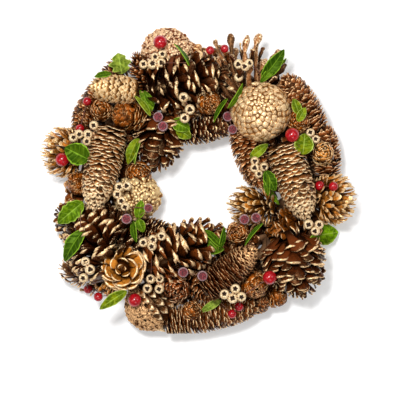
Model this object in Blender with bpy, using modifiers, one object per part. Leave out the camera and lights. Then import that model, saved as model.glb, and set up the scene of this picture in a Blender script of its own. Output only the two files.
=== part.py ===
"""A pinecone wreath that lies on its back, in metres, +Z up.

A flat-bottomed ring of twisted vine carries closed spruce cones, open pine cones, fan cones, gold
domes and small cones. Picks of leaves, berries and seed pods rest on the cones. The wreath's middle
is at X = Y = 0, and its underside is at Z = 0.
"""
import math

import bmesh
import bpy
from mathutils import Matrix, Vector
from mathutils.bvhtree import BVHTree

MM = 0.001

# Driving dimensions
WREATH_WIDTH = 360 * MM
GAP = 0.3 * MM
FLOOR_GAP = 3 * MM
SHARP_ANGLE = math.radians(40)
RING_MID_RADIUS = 113 * MM
RING_HALF_WIDTH = 26 * MM
RING_HEIGHT = 22 * MM
RING_FLAT_HALF_WIDTH = 17 * MM
RING_SEGMENTS = 24
RING_SIDES = 8
RING_STRANDS = 2
RING_TURNS = 7
RING_RELIEF = 0.12
RING_ROOM = 0.7 * MM
LEAF_THICKNESS = 0.9 * MM
LEAF_END_WIDTH = 0.10
STEM_RADIUS = 0.9 * MM
SETTLE_STEP = 0.5 * MM
DROP_HEIGHT = 120 * MM
STEM_CHECK = 1.2 * MM
STEM_END = 2.0 * MM
ARCH_COST = 4
BUNCH_REACH = 14
POD_SIDES = 5
BERRY_STEPS = 6
BERRY_RINGS = 4
CONE_TURN = math.radians(77)
FLAT_ANGLE = math.radians(9)
WELD = 0.02 * MM
HULL_ANGLE = math.radians(4)
HULL_GAP = 0.8 * MM

# The layout is written in pixels of a 400 by 400 picture of the wreath seen from above
LAYOUT_WIDTH = 319
LAYOUT_CENTRE = (198.5, 180.6)
PIXEL = WREATH_WIDTH / LAYOUT_WIDTH

# Colour, metallic and roughness of each finish
FINISHES = {
    "vine": ((0.16, 0.09, 0.04), 0.0, 0.8),
    "gold_cone": ((0.80, 0.60, 0.32), 0.6, 0.4),
    "brown_cone": ((0.25, 0.12, 0.04), 0.2, 0.4),
    "leaf": ((0.16, 0.36, 0.03), 0.0, 0.45),
}

# Start, span, ease and fullness of the sine that shapes a cone from base to tip
LONG_SHAPE = (0.20, 0.68, 0.9, 0.6)
ROUND_SHAPE = (0.24, 0.66, 0.9, 0.8)
SHORT_SHAPE = (0.22, 0.62, 1.0, 0.7)

# How each kind of cone is made: rows of scales along it, scales in a row, corners of a scale,
# rings of points in a row, reach of the core and of the notches between the scales as shares of
# the radius, lean and lip of the scales as shares of a row, and the shape of the whole
STYLES = {
    "spruce": dict(rows=7, scales=5, corners=2, levels=2, core=0.84, notch=0.92, lean=1.2, lip=0.0,
                   shape=LONG_SHAPE),
    "spruce_low": dict(rows=5, scales=5, corners=2, levels=2, core=0.84, notch=0.92, lean=1.2, lip=0.0,
                       shape=LONG_SHAPE),
    "spiky": dict(rows=6, scales=5, corners=2, levels=2, core=0.66, notch=0.76, lean=1.3, lip=0.0,
                  shape=LONG_SHAPE),
    "small": dict(rows=3, scales=5, corners=2, levels=2, core=0.74, notch=0.84, lean=1.2, lip=0.0,
                  shape=SHORT_SHAPE),
    "pine": dict(rows=5, scales=5, corners=3, levels=3, core=0.50, notch=0.62, lean=0.9, lip=0.30,
                 shape=ROUND_SHAPE),
    "rosette": dict(rows=4, scales=5, corners=3, levels=3, core=0.50, notch=0.62, lean=1.0, lip=0.26,
                    shape=ROUND_SHAPE),
    "open": dict(rows=5, scales=5, corners=3, levels=2, core=0.50, notch=0.62, lean=1.1, lip=0.0,
                 shape=ROUND_SHAPE),
    "fan": dict(rows=3, scales=7, corners=3, levels=2, core=0.50, notch=0.62, lean=1.2, lip=0.0,
                shape=SHORT_SHAPE),
    "fan_long": dict(rows=3, scales=6, corners=3, levels=2, core=0.40, notch=0.52, lean=1.5, lip=0.0,
                     shape=SHORT_SHAPE),
}

# Where a scale's corners stand across it: the notch, then its tip or the two ends of its rim
SCALE_CORNERS = {2: (0.0, 0.5), 3: (0.0, 0.24, 0.76)}

# Shares of a row: its scales' root, the rise of a notch, and what the tip adds past the last row
ROOT_RISE = 0.2
NOTCH_RISE = 0.55
TIP_ROWS = 0.6

DOME_ROWS = 6
DOME_STEPS = 16
DOME_RELIEF = 0.10
DOME_FOOT = 0.86
DOME_SIDE_EASE = 0.75
DOME_TOP_EASE = 0.8

# Name, kind, finish, base (x, y in pixels, z in mm), tip (the same) and radius in mm.
# A cone that stands earlier in the list keeps its shape where it meets a later one.
CONES = [
    ("spruce_right", "spruce", "gold_cone", (281, 141, 60), (307, 221, 60), 22),
    ("spruce_left", "spruce", "gold_cone", (113, 124, 58), (93, 211, 66), 21.5),
    ("spruce_gold_upper_left", "spruce", "gold_cone", (138, 92, 62), (89, 87, 60), 16.5),
    ("spruce_lower_right", "spruce", "brown_cone", (203, 293, 60), (257, 247, 66), 19),
    ("disc_gold", "dome", "gold_cone", (261, 112, 50), (260, 112, 80), 34),
    ("rosette_lower_left", "rosette", "brown_cone", (124, 268, 44), (122, 266, 82), 27),
    ("small_upper_left_brown", "small", "brown_cone", (143, 119, 44), (113, 112, 60), 17),
    ("small_top_gold_tip", "small", "brown_cone", (205, 97, 30), (212, 107, 62), 14),
    ("pine_top", "pine", "brown_cone", (148, 93, 44), (232, 66, 46), 34),
    ("pine_bottom", "open", "brown_cone", (142, 262, 42), (224, 235, 44), 31),
    ("pine_lower_left", "pine", "brown_cone", (130, 266, 48), (78, 206, 44), 45),
    ("pine_lower_right", "open", "brown_cone", (274, 244, 42), (314, 294, 42), 36),
    ("round_lower_right", "small", "brown_cone", (249, 278, 18), (257, 289, 60), 16),
    ("small_inner_right", "small", "brown_cone", (238, 233, 30), (237, 232, 58), 13),
    ("rosette_upper_left", "small", "brown_cone", (104, 111, 32), (99, 109, 58), 13),
    ("small_right", "small", "brown_cone", (298, 123, 30), (299, 120, 62), 14),
    ("small_tan_right", "small", "gold_cone", (320, 158, 32), (320, 147, 58), 12),
    ("spiky_upper_left", "spiky", "brown_cone", (154, 104, 42), (134, 50, 38), 16),
    ("fan_top", "fan_long", "brown_cone", (246, 108, 36), (253, 40, 42), 33),
    ("pine_inner_top_left", "open", "brown_cone", (162, 110, 38), (150, 162, 36), 31),
    ("spruce_inner_right", "spruce_low", "brown_cone", (247, 120, 36), (262, 190, 32), 20),
    ("spruce_inner_top", "spruce_low", "brown_cone", (180, 135, 34), (240, 121, 34), 18),
    ("spruce_right_rim", "spruce_low", "brown_cone", (329, 178, 26), (322, 122, 28), 17),
    ("spruce_upper_right", "spruce_low", "brown_cone", (317, 134, 36), (284, 76, 38), 19),
    ("spruce_left_rim", "spruce_low", "brown_cone", (121, 54, 28), (73, 130, 28), 18),
    ("dome_gold_top", "dome", "gold_cone", (167, 53, 26), (167, 50, 54), 30),
    ("dome_gold_left", "dome", "gold_cone", (137, 196, 28), (139, 197, 56), 26),
    ("dome_gold_bottom", "dome", "gold_cone", (150, 309, 20), (149, 312, 48), 29),
    ("rosette_left", "small", "brown_cone", (88, 182, 11), (73, 184, 52), 14),
    ("rosette_inner_left", "small", "brown_cone", (136, 172, 24), (141, 175, 50), 15),
    ("dark_bottom", "small", "brown_cone", (176, 285, 28), (175, 292, 56), 17),
    ("fan_left", "fan", "gold_cone", (82, 153, 32), (39, 151, 32), 29),
    ("fan_right", "fan", "gold_cone", (314, 201, 32), (358, 196, 32), 30),
    ("fan_inner_right", "fan", "gold_cone", (276, 208, 32), (226, 203, 32), 24),
    ("pine_right", "open", "brown_cone", (314, 226, 30), (268, 232, 30), 24),
    ("spruce_bottom_rim", "spruce_low", "brown_cone", (178, 324, 26), (260, 302, 28), 18),
    ("spruce_bottom", "spruce_low", "brown_cone", (180, 276, 28), (224, 302, 28), 16),
    ("spruce_inner_bottom", "spruce_low", "brown_cone", (141, 226, 30), (186, 244, 30), 16),
    ("spiky_lower_left", "spiky", "brown_cone", (86, 284, 28), (59, 263, 28), 16),
    ("small_lower_left", "small", "brown_cone", (118, 290, 26), (93, 283, 32), 14),
    ("small_bottom", "small", "brown_cone", (191, 318, 24), (192, 307, 50), 12),
    ("small_lower_right", "small", "brown_cone", (252, 308, 20), (268, 300, 30), 12),
]

# Reach and height of a pod's rings as shares of its radius, from its foot up and into its mouth
POD_PROFILE = ((0.0, -1.1), (1.15, -0.25), (0.86, 0.7), (0.5, 0.72), (0.0, 0.1))

# The hollow crown of a frosted berry, and how far below its middle the stem of each kind ends
CROWN_DEPTH = 0.35
JOINT_DEPTH = {"pod": 0.6, "red": 0.3, "frosted": 0.3}

# How a leaf's width swells and fades along it
LEAF_EASE = 0.85
LEAF_FULLNESS = 0.7

# Leaf outlines: stations along the leaf, depth of its lobes, its fold along the rib and its curl
LEAVES = {
    "holly": dict(stations=6, sides=2, lobe=0.22, fold=0.16, curl=0.10),
    "oval": dict(stations=4, sides=2, lobe=0.0, fold=0.14, curl=0.12),
    "slim": dict(stations=3, sides=1, lobe=0.0, fold=0.0, curl=0.10),
}

# The picks. A pod, red or frosted berry has its middle (x, y in pixels) and its radius in mm.
# A leaf has its outline, base and tip (pixels), width in mm and roll about its rib in degrees.
PICKS = {
    "pick_top_left": [
        ("pod", 143.8, 65.2, 4.6), ("pod", 152.5, 65.0, 5.4), ("pod", 161.3, 63.6, 5.0),
        ("pod", 155.4, 57.8, 4.6), ("pod", 162.5, 55.0, 4.4), ("red", 160.4, 42.9, 7.8),
        ("leaf", "slim", (191, 66), (176, 44), 6, 55),
        ("leaf", "holly", (122, 74), (118, 53), 22, 0), ("leaf", "slim", (112, 74), (95, 77), 8, 30),
    ],
    "pick_left": [
        ("pod", 94.7, 125.8, 4.8), ("pod", 88.5, 134.7, 5.0), ("pod", 87.4, 141.8, 4.6),
        ("pod", 79.7, 134.6, 4.8), ("pod", 74.0, 138.4, 4.6), ("red", 79.9, 128.6, 5.0),
        ("red", 87.2, 101.3, 5.0), ("leaf", "oval", (90, 160), (66, 148), 25, 0),
        ("red", 62.9, 159.8, 7.7),
    ],
    "pick_upper_left": [
        ("frosted", 158.3, 117.6, 5.8), ("frosted", 163.3, 127.1, 5.8),
        ("leaf", "slim", (152, 116), (136, 96), 7, 30), ("leaf", "slim", (151, 112), (140, 90), 8, 10),
        ("leaf", "oval", (150, 113), (147, 97), 11, 10), ("leaf", "slim", (154, 107), (144, 91), 8, 0),
    ],
    "pick_top": [
        ("pod", 183.8, 98.5, 5.2), ("pod", 190.0, 110.4, 5.4), ("pod", 184.8, 119.1, 5.2),
        ("leaf", "oval", (172, 121), (190, 130), 16, 0),
        ("leaf", "oval", (176, 128), (191, 138), 15, 0),
    ],
    "pick_top_right": [
        ("pod", 238.2, 65.2, 5.0), ("pod", 244.9, 67.8, 4.8), ("pod", 248.6, 64.4, 4.4),
        ("pod", 238.4, 77.9, 4.8), ("red", 224.5, 49.2, 4.8), ("red", 210.0, 51.2, 4.9),
        ("leaf", "oval", (262, 80), (285, 50), 13, 10), ("leaf", "slim", (260, 83), (277, 64), 8, 0),
        ("leaf", "slim", (272, 74), (288, 57), 6, 20),
    ],
    "pick_middle_top": [
        ("frosted", 228.0, 116.5, 5.7), ("frosted", 232.7, 129.5, 5.5),
        ("leaf", "slim", (229, 110), (244, 85), 7, 40), ("leaf", "slim", (226, 98), (212, 122), 6, 40),
    ],
    "pick_upper_right": [
        ("red", 291.3, 135.7, 8.0), ("leaf", "oval", (302, 155), (304, 134), 22, 0),
        ("pod", 310.0, 133.0, 4.6), ("pod", 315.4, 139.5, 4.4),
        ("leaf", "slim", (297, 122), (305, 108), 10, 0), ("leaf", "oval", (299, 115), (293, 99), 11, 0),
    ],
    "pick_inner_right": [
        ("pod", 254.6, 161.0, 4.6), ("pod", 254.6, 168.0, 5.0), ("pod", 263.9, 166.9, 4.8),
        ("pod", 258.6, 174.0, 4.4),
        ("leaf", "oval", (250, 158), (268, 144), 11, 0), ("leaf", "holly", (265, 171), (275, 191), 14, 0),
        ("leaf", "slim", (266, 174), (267, 196), 8, 20), ("leaf", "slim", (268, 188), (279, 205), 6, 10),
    ],
    "pick_right": [
        ("red", 319.5, 185.8, 5.5), ("red", 332.8, 186.5, 5.3),
    ],
    "pick_lower_right": [
        ("pod", 307.7, 224.0, 5.2), ("pod", 318.0, 224.5, 4.8), ("pod", 314.4, 230.8, 4.8),
        ("leaf", "oval", (316, 236), (339, 233), 23, 0), ("leaf", "slim", (318, 234), (309, 246), 10, 0),
    ],
    "pick_inner_bottom_right": [
        ("frosted", 244.2, 219.2, 5.8), ("frosted", 255.7, 218.0, 5.8),
        ("leaf", "slim", (261, 222), (243, 244), 5, 40), ("leaf", "slim", (222, 246), (203, 228), 9, 30),
        ("leaf", "oval", (218, 250), (208, 239), 12, 0), ("leaf", "slim", (220, 250), (225, 227), 7, 30),
        ("leaf", "slim", (224, 248), (210, 254), 6, 20),
    ],
    "pick_bottom_right": [
        ("pod", 224.4, 293.4, 5.2), ("pod", 232.2, 297.2, 5.4), ("pod", 235.0, 287.9, 5.2),
        ("pod", 241.0, 295.7, 5.0), ("red", 239.0, 306.8, 5.1),
        ("red", 232.0, 313.9, 5.1), ("leaf", "slim", (221, 300), (200, 312), 9, 10),
        ("red", 269.0, 276.9, 7.8),
    ],
    "pick_bottom": [
        ("pod", 143.6, 242.2, 4.8), ("pod", 153.1, 239.0, 4.8), ("pod", 152.5, 245.6, 5.0),
        ("pod", 162.0, 235.8, 4.8), ("pod", 150.9, 278.8, 5.0),
        ("pod", 159.7, 278.8, 4.8), ("pod", 147.7, 288.2, 5.0), ("pod", 159.5, 288.6, 5.0),
        ("frosted", 183.2, 271.7, 5.8), ("frosted", 202.2, 275.0, 5.8),
    ],
    "pick_bottom_left": [
        ("pod", 86.7, 260.7, 4.8), ("pod", 91.2, 268.8, 5.4),
        ("pod", 84.9, 277.0, 4.8), ("red", 86.7, 290.2, 5.1), ("red", 97.9, 297.3, 5.2),
        ("leaf", "oval", (127, 290), (100, 308), 13, 10), ("red", 134.9, 300.0, 7.6),
    ],
    "pick_lower_left": [
        ("leaf", "holly", (84, 202), (59, 223), 21, 0), ("leaf", "oval", (84, 229), (65, 260), 18, 20),
    ],
    "pick_inner_left": [
        ("leaf", "oval", (138, 138), (127, 164), 13, 20), ("leaf", "slim", (139, 141), (133, 164), 6, 50),
    ],
    "pick_inner_bottom_left": [
        ("frosted", 127.6, 218.7, 5.8), ("pod", 125.9, 206.7, 4.8), ("pod", 121.9, 200.9, 4.8),
        ("pod", 117.9, 194.2, 4.8), ("pod", 120.0, 187.0, 5.0), ("pod", 127.7, 186.0, 4.8),
        ("frosted", 148.5, 208.0, 5.2), ("leaf", "oval", (138, 219), (142, 200), 12, 0),
        ("leaf", "oval", (138, 219), (144, 232), 11, 0), ("leaf", "slim", (133, 221), (136, 242), 8, 30),
    ],
}


def metres(x, y, z=0.0):
    """A point from its pixels x and y in the layout and its height in millimetres."""
    return Vector(((x - LAYOUT_CENTRE[0]) * PIXEL, (LAYOUT_CENTRE[1] - y) * PIXEL, z * MM))


def clear_scene():
    """Remove every object of the scene."""
    for item in list(bpy.data.objects):
        bpy.data.objects.remove(item, do_unlink=True)


def new_collection(name):
    """A collection in the scene."""
    group = bpy.data.collections.new(name)
    bpy.context.scene.collection.children.link(group)
    return group


def finish(name):
    """The material of that name, made once."""
    if name in bpy.data.materials:
        return bpy.data.materials[name]
    colour, metallic, roughness = FINISHES[name]
    material = bpy.data.materials.new(name)
    material.use_nodes = True
    shader = material.node_tree.nodes["Principled BSDF"]
    shader.inputs["Base Color"].default_value = (*colour, 1.0)
    shader.inputs["Metallic"].default_value = metallic
    shader.inputs["Roughness"].default_value = roughness
    material.diffuse_color = (*colour, 1.0)
    return material


def add_object(name, mesh, group, material=None):
    """An object of the mesh in the collection."""
    item = bpy.data.objects.new(name, mesh)
    group.objects.link(item)
    if material:
        mesh.materials.clear()
        mesh.materials.append(finish(material))
    return item


def mesh_from(bm, name):
    """The bmesh as a mesh of triangles."""
    bmesh.ops.triangulate(bm, faces=bm.faces)
    bmesh.ops.recalc_face_normals(bm, faces=bm.faces)
    mesh = bpy.data.meshes.new(name)
    bm.to_mesh(mesh)
    bm.free()
    return mesh


def evaluated_mesh(item):
    """The mesh that an object has with its modifiers."""
    bpy.context.view_layer.update()
    graph = bpy.context.evaluated_depsgraph_get()
    return bpy.data.meshes.new_from_object(item.evaluated_get(graph))


def sphere_points(rings, steps):
    """A UV sphere, and the ring (0 at the low pole) and the step round the axis of each vertex."""
    bm = bmesh.new()
    bmesh.ops.create_uvsphere(bm, u_segments=steps, v_segments=rings + 1, radius=1.0)
    places = {}
    first = None
    for vert in bm.verts:
        ring = round(math.acos(max(-1.0, min(1.0, -vert.co.z))) / math.pi * (rings + 1))
        azimuth = math.atan2(vert.co.y, vert.co.x)
        if first is None and 0 < ring <= rings:
            first = azimuth
        places[vert] = (ring, azimuth)
    grid = {}
    for vert, (ring, azimuth) in places.items():
        grid[vert] = (ring, round((azimuth - first) / math.tau * steps) % steps)
    return bm, grid


def outline(kind, t):
    """The share of its greatest radius that a cone has at t, from 0 at its base to 1 at its tip."""
    start, span, ease, fullness = STYLES[kind]["shape"]
    return math.sin(math.pi * (start + span * t ** ease)) ** fullness


def scale_point(kind, ring, step, length, radius):
    """Radius, turn and height of a point of a cone that is covered with rows of scales."""
    style = STYLES[kind]
    row, level = divmod(ring - 1, style["levels"])
    scale, corner = divmod(step, style["corners"])
    pitch = length / (style["rows"] + TIP_ROWS)
    root = pitch * (row + ROOT_RISE)
    full = radius * outline(kind, (row + 0.5) / style["rows"])
    stagger = 0.5 * (row % 2)
    if level == 0:
        turn = (scale + corner / style["corners"] + 0.25) / style["scales"] * math.tau
        return full * style["core"], turn, root
    side = SCALE_CORNERS[style["corners"]][corner]
    reach, rise = (1.0, style["lean"]) if corner else (style["notch"], NOTCH_RISE)
    height = root + pitch * rise
    if level == 2:
        height += pitch * style["lip"] * (1.0 if corner else 0.5)
    turn = (scale + side + stagger) / style["scales"] * math.tau
    return full * reach, turn, height


def dome_point(ring, step, length, radius):
    """Radius, turn and height of a point of a dome that is covered with staggered bumps."""
    bump = 1.0 + DOME_RELIEF * ((ring + step) % 2)
    turn = step / DOME_STEPS * math.tau
    if ring == 1:
        return radius * DOME_FOOT, turn, 0.0
    slope = (ring - 1) / DOME_ROWS * math.pi / 2
    bump /= 1.0 + DOME_RELIEF
    reach = radius * math.cos(slope) ** DOME_SIDE_EASE * bump
    return reach, turn, length * math.sin(slope) ** DOME_TOP_EASE * bump


def cone_mesh(name, kind, length, radius):
    """A cone along +Z with its base at the origin."""
    dome = kind == "dome"
    rings = DOME_ROWS if dome else STYLES[kind]["rows"] * STYLES[kind]["levels"]
    steps = DOME_STEPS if dome else STYLES[kind]["scales"] * STYLES[kind]["corners"]
    bm, grid = sphere_points(rings, steps)
    for vert, (ring, step) in grid.items():
        if ring == 0:
            vert.co = (0.0, 0.0, 0.0)
        elif ring == rings + 1:
            vert.co = (0.0, 0.0, length)
        else:
            if dome:
                reach, turn, height = dome_point(ring, step, length, radius)
            else:
                reach, turn, height = scale_point(kind, ring, step, length, radius)
            vert.co = (reach * math.cos(turn), reach * math.sin(turn), height)
    return mesh_from(bm, name)


def aim(base, tip, turn):
    """The matrix that sets an upright piece at base with its axis towards tip."""
    return Matrix.Translation(base) @ (tip - base).to_track_quat("Z", "Y").to_matrix().to_4x4() @ \
        Matrix.Rotation(turn, 4, "Z")


def ring_mesh(name, margin=0.0):
    """The vine ring: a torus with an oval section, a flat underside and twisted strands.

    The margin sets its surface out, for the room that other pieces leave it.
    """
    bpy.ops.mesh.primitive_torus_add(
        major_segments=RING_SEGMENTS, minor_segments=RING_SIDES,
        major_radius=1.0, minor_radius=0.25, generate_uvs=False)
    torus = bpy.context.object
    bm = bmesh.new()
    bm.from_mesh(torus.data)
    bpy.data.objects.remove(torus, do_unlink=True)
    bmesh.ops.triangulate(bm, faces=bm.faces)
    for vert in bm.verts:
        turn = math.atan2(vert.co.y, vert.co.x)
        side = math.atan2(vert.co.z, math.hypot(vert.co.x, vert.co.y) - 1.0)
        across = math.cos(side) * (RING_HALF_WIDTH + margin)
        height = RING_HEIGHT / 2 + math.sin(side) * (RING_HEIGHT / 2 + margin)
        if height < RING_HEIGHT / 4:
            across = RING_FLAT_HALF_WIDTH * round(math.cos(side))
            height = -margin
        else:
            strand = 1.0 - RING_RELIEF * (1.0 - math.sin(RING_STRANDS * side + RING_TURNS * turn)) / 2
            across *= strand
            height *= strand
        reach = RING_MID_RADIUS + across
        vert.co = (reach * math.cos(turn), reach * math.sin(turn), height)
    return mesh_from(bm, name)


def hull_mesh(mesh, name):
    """The convex hull of a mesh, set out by the gap that neighbours keep."""
    bm = bmesh.new()
    for vert in mesh.vertices:
        bm.verts.new(vert.co)
    hull = bmesh.ops.convex_hull(bm, input=bm.verts)
    inside = hull["geom_interior"] + hull["geom_unused"]
    loose = {vert for vert in inside if isinstance(vert, bmesh.types.BMVert)}
    bmesh.ops.delete(bm, geom=list(loose), context="VERTS")
    bmesh.ops.dissolve_limit(bm, angle_limit=HULL_ANGLE, verts=bm.verts, edges=bm.edges)
    bmesh.ops.triangulate(bm, faces=bm.faces)
    bm.normal_update()
    moved = [(vert, vert.co + vert.normal * HULL_GAP) for vert in bm.verts]
    for vert, place in moved:
        vert.co = place
    return mesh_from(bm, name)


def solid_volume(faces):
    """The volume that a closed set of triangles holds."""
    total = 0.0
    for face in faces:
        a, b, c = (vert.co for vert in face.verts)
        total += a.dot(b.cross(c)) / 6.0
    return total


def simplified(mesh):
    """The mesh in a bmesh, with flat areas in fewer triangles where that keeps it closed."""
    for angle in (FLAT_ANGLE, 0.0):
        bm = bmesh.new()
        bm.from_mesh(mesh)
        if angle:
            bmesh.ops.remove_doubles(bm, verts=bm.verts, dist=WELD)
            bmesh.ops.dissolve_limit(bm, angle_limit=angle, verts=bm.verts, edges=bm.edges)
        bmesh.ops.triangulate(bm, faces=bm.faces)
        if all(len(edge.link_faces) == 2 for edge in bm.edges) or not angle:
            return bm
        bm.free()


def largest_body(mesh):
    """The mesh with only its largest body, so that a cut leaves no loose scraps."""
    bm = simplified(mesh)
    left = set(bm.faces)
    bodies = []
    while left:
        seed = left.pop()
        body, queue = [seed], [seed]
        while queue:
            for edge in queue.pop().edges:
                for face in edge.link_faces:
                    if face in left:
                        left.remove(face)
                        body.append(face)
                        queue.append(face)
        bodies.append(body)
    bodies.sort(key=solid_volume, reverse=True)
    scraps = [face for body in bodies[1:] for face in body]
    bmesh.ops.delete(bm, geom=scraps, context="FACES")
    bm.to_mesh(mesh)
    bm.free()
    return mesh, len(bodies)


def combine(item, others, operation):
    """The item's mesh after one Boolean with all the others, which are then removed."""
    tools = new_collection("cutters")
    for other in others:
        tools.objects.link(other)
        other.hide_render = True
        other.display_type = "WIRE"
    change = item.modifiers.new(operation.title(), "BOOLEAN")
    change.operation = operation
    change.operand_type = "COLLECTION"
    change.collection = tools
    mesh = evaluated_mesh(item)
    item.modifiers.remove(change)
    for other in others:
        bpy.data.objects.remove(other, do_unlink=True)
    bpy.data.collections.remove(tools)
    return mesh


def tree_of(mesh, lift=0.0):
    """A search tree of the mesh's triangles, raised by lift."""
    points = [vert.co + Vector((0.0, 0.0, lift)) for vert in mesh.vertices]
    return BVHTree.FromPolygons(points, [tuple(face.vertices) for face in mesh.polygons])


def boxes_meet(first, second):
    """Whether the boxes round two meshes meet."""
    for axis in range(3):
        one = [vert.co[axis] for vert in first.vertices]
        two = [vert.co[axis] for vert in second.vertices]
        if max(one) + GAP < min(two) or max(two) + GAP < min(one):
            return False
    return True


def floor_mesh():
    """A block under the cones that keeps them off the floor."""
    bm = bmesh.new()
    size = 2 * WREATH_WIDTH
    bmesh.ops.create_cube(bm, size=size, matrix=Matrix.Translation((0, 0, FLOOR_GAP - size / 2)))
    return mesh_from(bm, "floor_block")


def make_cones(group):
    """Each cone in its place, cut back where it meets the ring or a cone that keeps its shape."""
    solids = [ring_mesh("ring_room", RING_ROOM), floor_mesh()]
    for index, (name, kind, material, base, tip, radius) in enumerate(CONES):
        base, tip = metres(*base), metres(*tip)
        mesh = cone_mesh("cone_" + name, kind, (tip - base).length, radius * MM)
        mesh.transform(aim(base, tip, index * CONE_TURN))
        item = add_object("cone_" + name, mesh, group, material)
        room = hull_mesh(mesh, "room")
        near = [solid for solid in solids if boxes_meet(solid, mesh)]
        if near:
            tools = [bpy.data.objects.new("cutter", solid) for solid in near]
            item.data, _ = largest_body(combine(item, tools, "DIFFERENCE"))
            item.data.materials.clear()
            item.data.materials.append(finish(material))
        solids.append(room)
        shade_round(item.data)


def shade_round(mesh):
    """Smooth shading, sharp where the faces meet at a steep angle."""
    mesh.shade_smooth()
    mesh.set_sharp_from_angle(angle=SHARP_ANGLE)


def pod_mesh(radius):
    """A seed pod that opens upwards: a round body with a thick rim and a hollow mouth."""
    bm, grid = sphere_points(3, POD_SIDES)
    for vert, (ring, step) in grid.items():
        reach, height = POD_PROFILE[ring]
        turn = step / POD_SIDES * math.tau
        vert.co = Vector((reach * math.cos(turn), reach * math.sin(turn), height)) * radius
    return mesh_from(bm, "pod")


def berry_mesh(radius, flattened):
    """A round berry, or one with a low hollow crown on top."""
    bm = bmesh.new()
    bmesh.ops.create_uvsphere(bm, u_segments=BERRY_STEPS, v_segments=BERRY_RINGS, radius=radius)
    if flattened:
        top = max(bm.verts, key=lambda vert: vert.co.z)
        top.co.z -= CROWN_DEPTH * radius
    return mesh_from(bm, "berry")


def rib_height(shape, length, share):
    """How far a leaf's rib bends down at a share of its length."""
    return -shape["curl"] * length * (2 * share - 1) ** 2


def leaf_mesh(outline_name, length, width, roll):
    """A leaf along +X from the origin, with a folded rib, curled ends and a lobed or plain edge.

    The second value is the point on its rib where the stem joins it.
    """
    shape = LEAVES[outline_name]
    bm = bmesh.new()
    bmesh.ops.create_grid(bm, x_segments=shape["stations"], y_segments=shape["sides"], size=1.0)
    bmesh.ops.triangulate(bm, faces=bm.faces)
    for vert in bm.verts:
        share, side = (vert.co.x + 1) / 2, vert.co.y
        station = round(share * shape["stations"])
        swell = max(LEAF_END_WIDTH, math.sin(math.pi * share ** LEAF_EASE) ** LEAF_FULLNESS)
        if 0 < station < shape["stations"]:
            swell *= 1.0 + shape["lobe"] * (1 if station % 2 else -1)
        rise = shape["fold"] * abs(side) * width * swell + rib_height(shape, length, share)
        vert.co = (length * share, side * swell * width / 2, rise)
    mesh = bpy.data.meshes.new("leaf")
    bm.to_mesh(mesh)
    bm.free()
    sheet = bpy.data.objects.new("leaf", mesh)
    bpy.context.scene.collection.objects.link(sheet)
    solid = sheet.modifiers.new("Thickness", "SOLIDIFY")
    solid.thickness = LEAF_THICKNESS
    solid.offset = 0.0
    mesh = evaluated_mesh(sheet)
    bpy.data.objects.remove(sheet, do_unlink=True)
    tilt = Matrix.Rotation(math.radians(roll), 4, "X")
    mesh.transform(tilt)
    step = 1 / shape["stations"]
    height = (rib_height(shape, length, 0.0) + rib_height(shape, length, step)) / 2
    foot = tilt @ Vector((length * step / 2, 0.0, height))
    return largest_body(mesh)[0], foot


def settle(mesh, obstacles):
    """How far up the mesh has to go to lie just above the obstacles, lowered from above."""
    lift = DROP_HEIGHT
    for step in (4 * SETTLE_STEP, SETTLE_STEP):
        while lift > RING_HEIGHT / 2:
            tree = tree_of(mesh, lift - step)
            if any(tree.overlap(obstacle) for obstacle in obstacles):
                break
            lift -= step
    return lift + GAP


def pick_item(entry):
    """The mesh of one leaf, berry or pod at height 0, and the point where its stem joins it."""
    if entry[0] == "leaf":
        base, tip = metres(*entry[2]), metres(*entry[3])
        mesh, foot = leaf_mesh(entry[1], (tip - base).length, entry[4] * MM, entry[5])
        place = Matrix.Translation(base) @ Matrix.Rotation(math.atan2(*(tip - base).yx), 4, "Z")
        mesh.transform(place)
        return mesh, place @ foot + Vector((0.0, 0.0, 0.5 * STEM_RADIUS))
    middle, radius = metres(entry[1], entry[2]), entry[3] * MM
    mesh = pod_mesh(radius) if entry[0] == "pod" else berry_mesh(radius, entry[0] == "frosted")
    mesh.transform(Matrix.Translation(middle))
    return mesh, middle - Vector((0.0, 0.0, JOINT_DEPTH[entry[0]] * radius))


def path_is_clear(path, obstacles):
    """Whether a stem along the path keeps its radius and the gap from every obstacle."""
    room = STEM_RADIUS + GAP
    ends = (path[0], path[-1])
    for start, end in zip(path, path[1:]):
        along = end - start
        parts = math.ceil(along.length / STEM_CHECK)
        places = [start + along * (part / parts) for part in range(parts + 1)]
        places = [place for place in places if min((place - stop).length for stop in ends) > STEM_END]
        for obstacle in obstacles:
            if obstacle.ray_cast(start, along.normalized(), along.length)[0] is not None:
                return False
            if any(obstacle.find_nearest(place, room)[0] is not None for place in places):
                return False
    return True


def stem_path(start, end, obstacles):
    """The way of a stem between two points, arched just enough to stay clear of the obstacles."""
    path = [start, end]
    if not path_is_clear(path, obstacles):
        path.insert(1, (start + end) / 2)
    while not path_is_clear(path, obstacles):
        path[1].z += 2 * SETTLE_STEP
        if path[1].z > DROP_HEIGHT:
            return None
    return path


def path_cost(path):
    """The length of a way, with the height of its arch counted several times."""
    if path is None:
        return math.inf
    length = sum((end - start).length for start, end in zip(path, path[1:]))
    return length + ARCH_COST * (max(point.z for point in path) - max(path[0].z, path[-1].z))


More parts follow.
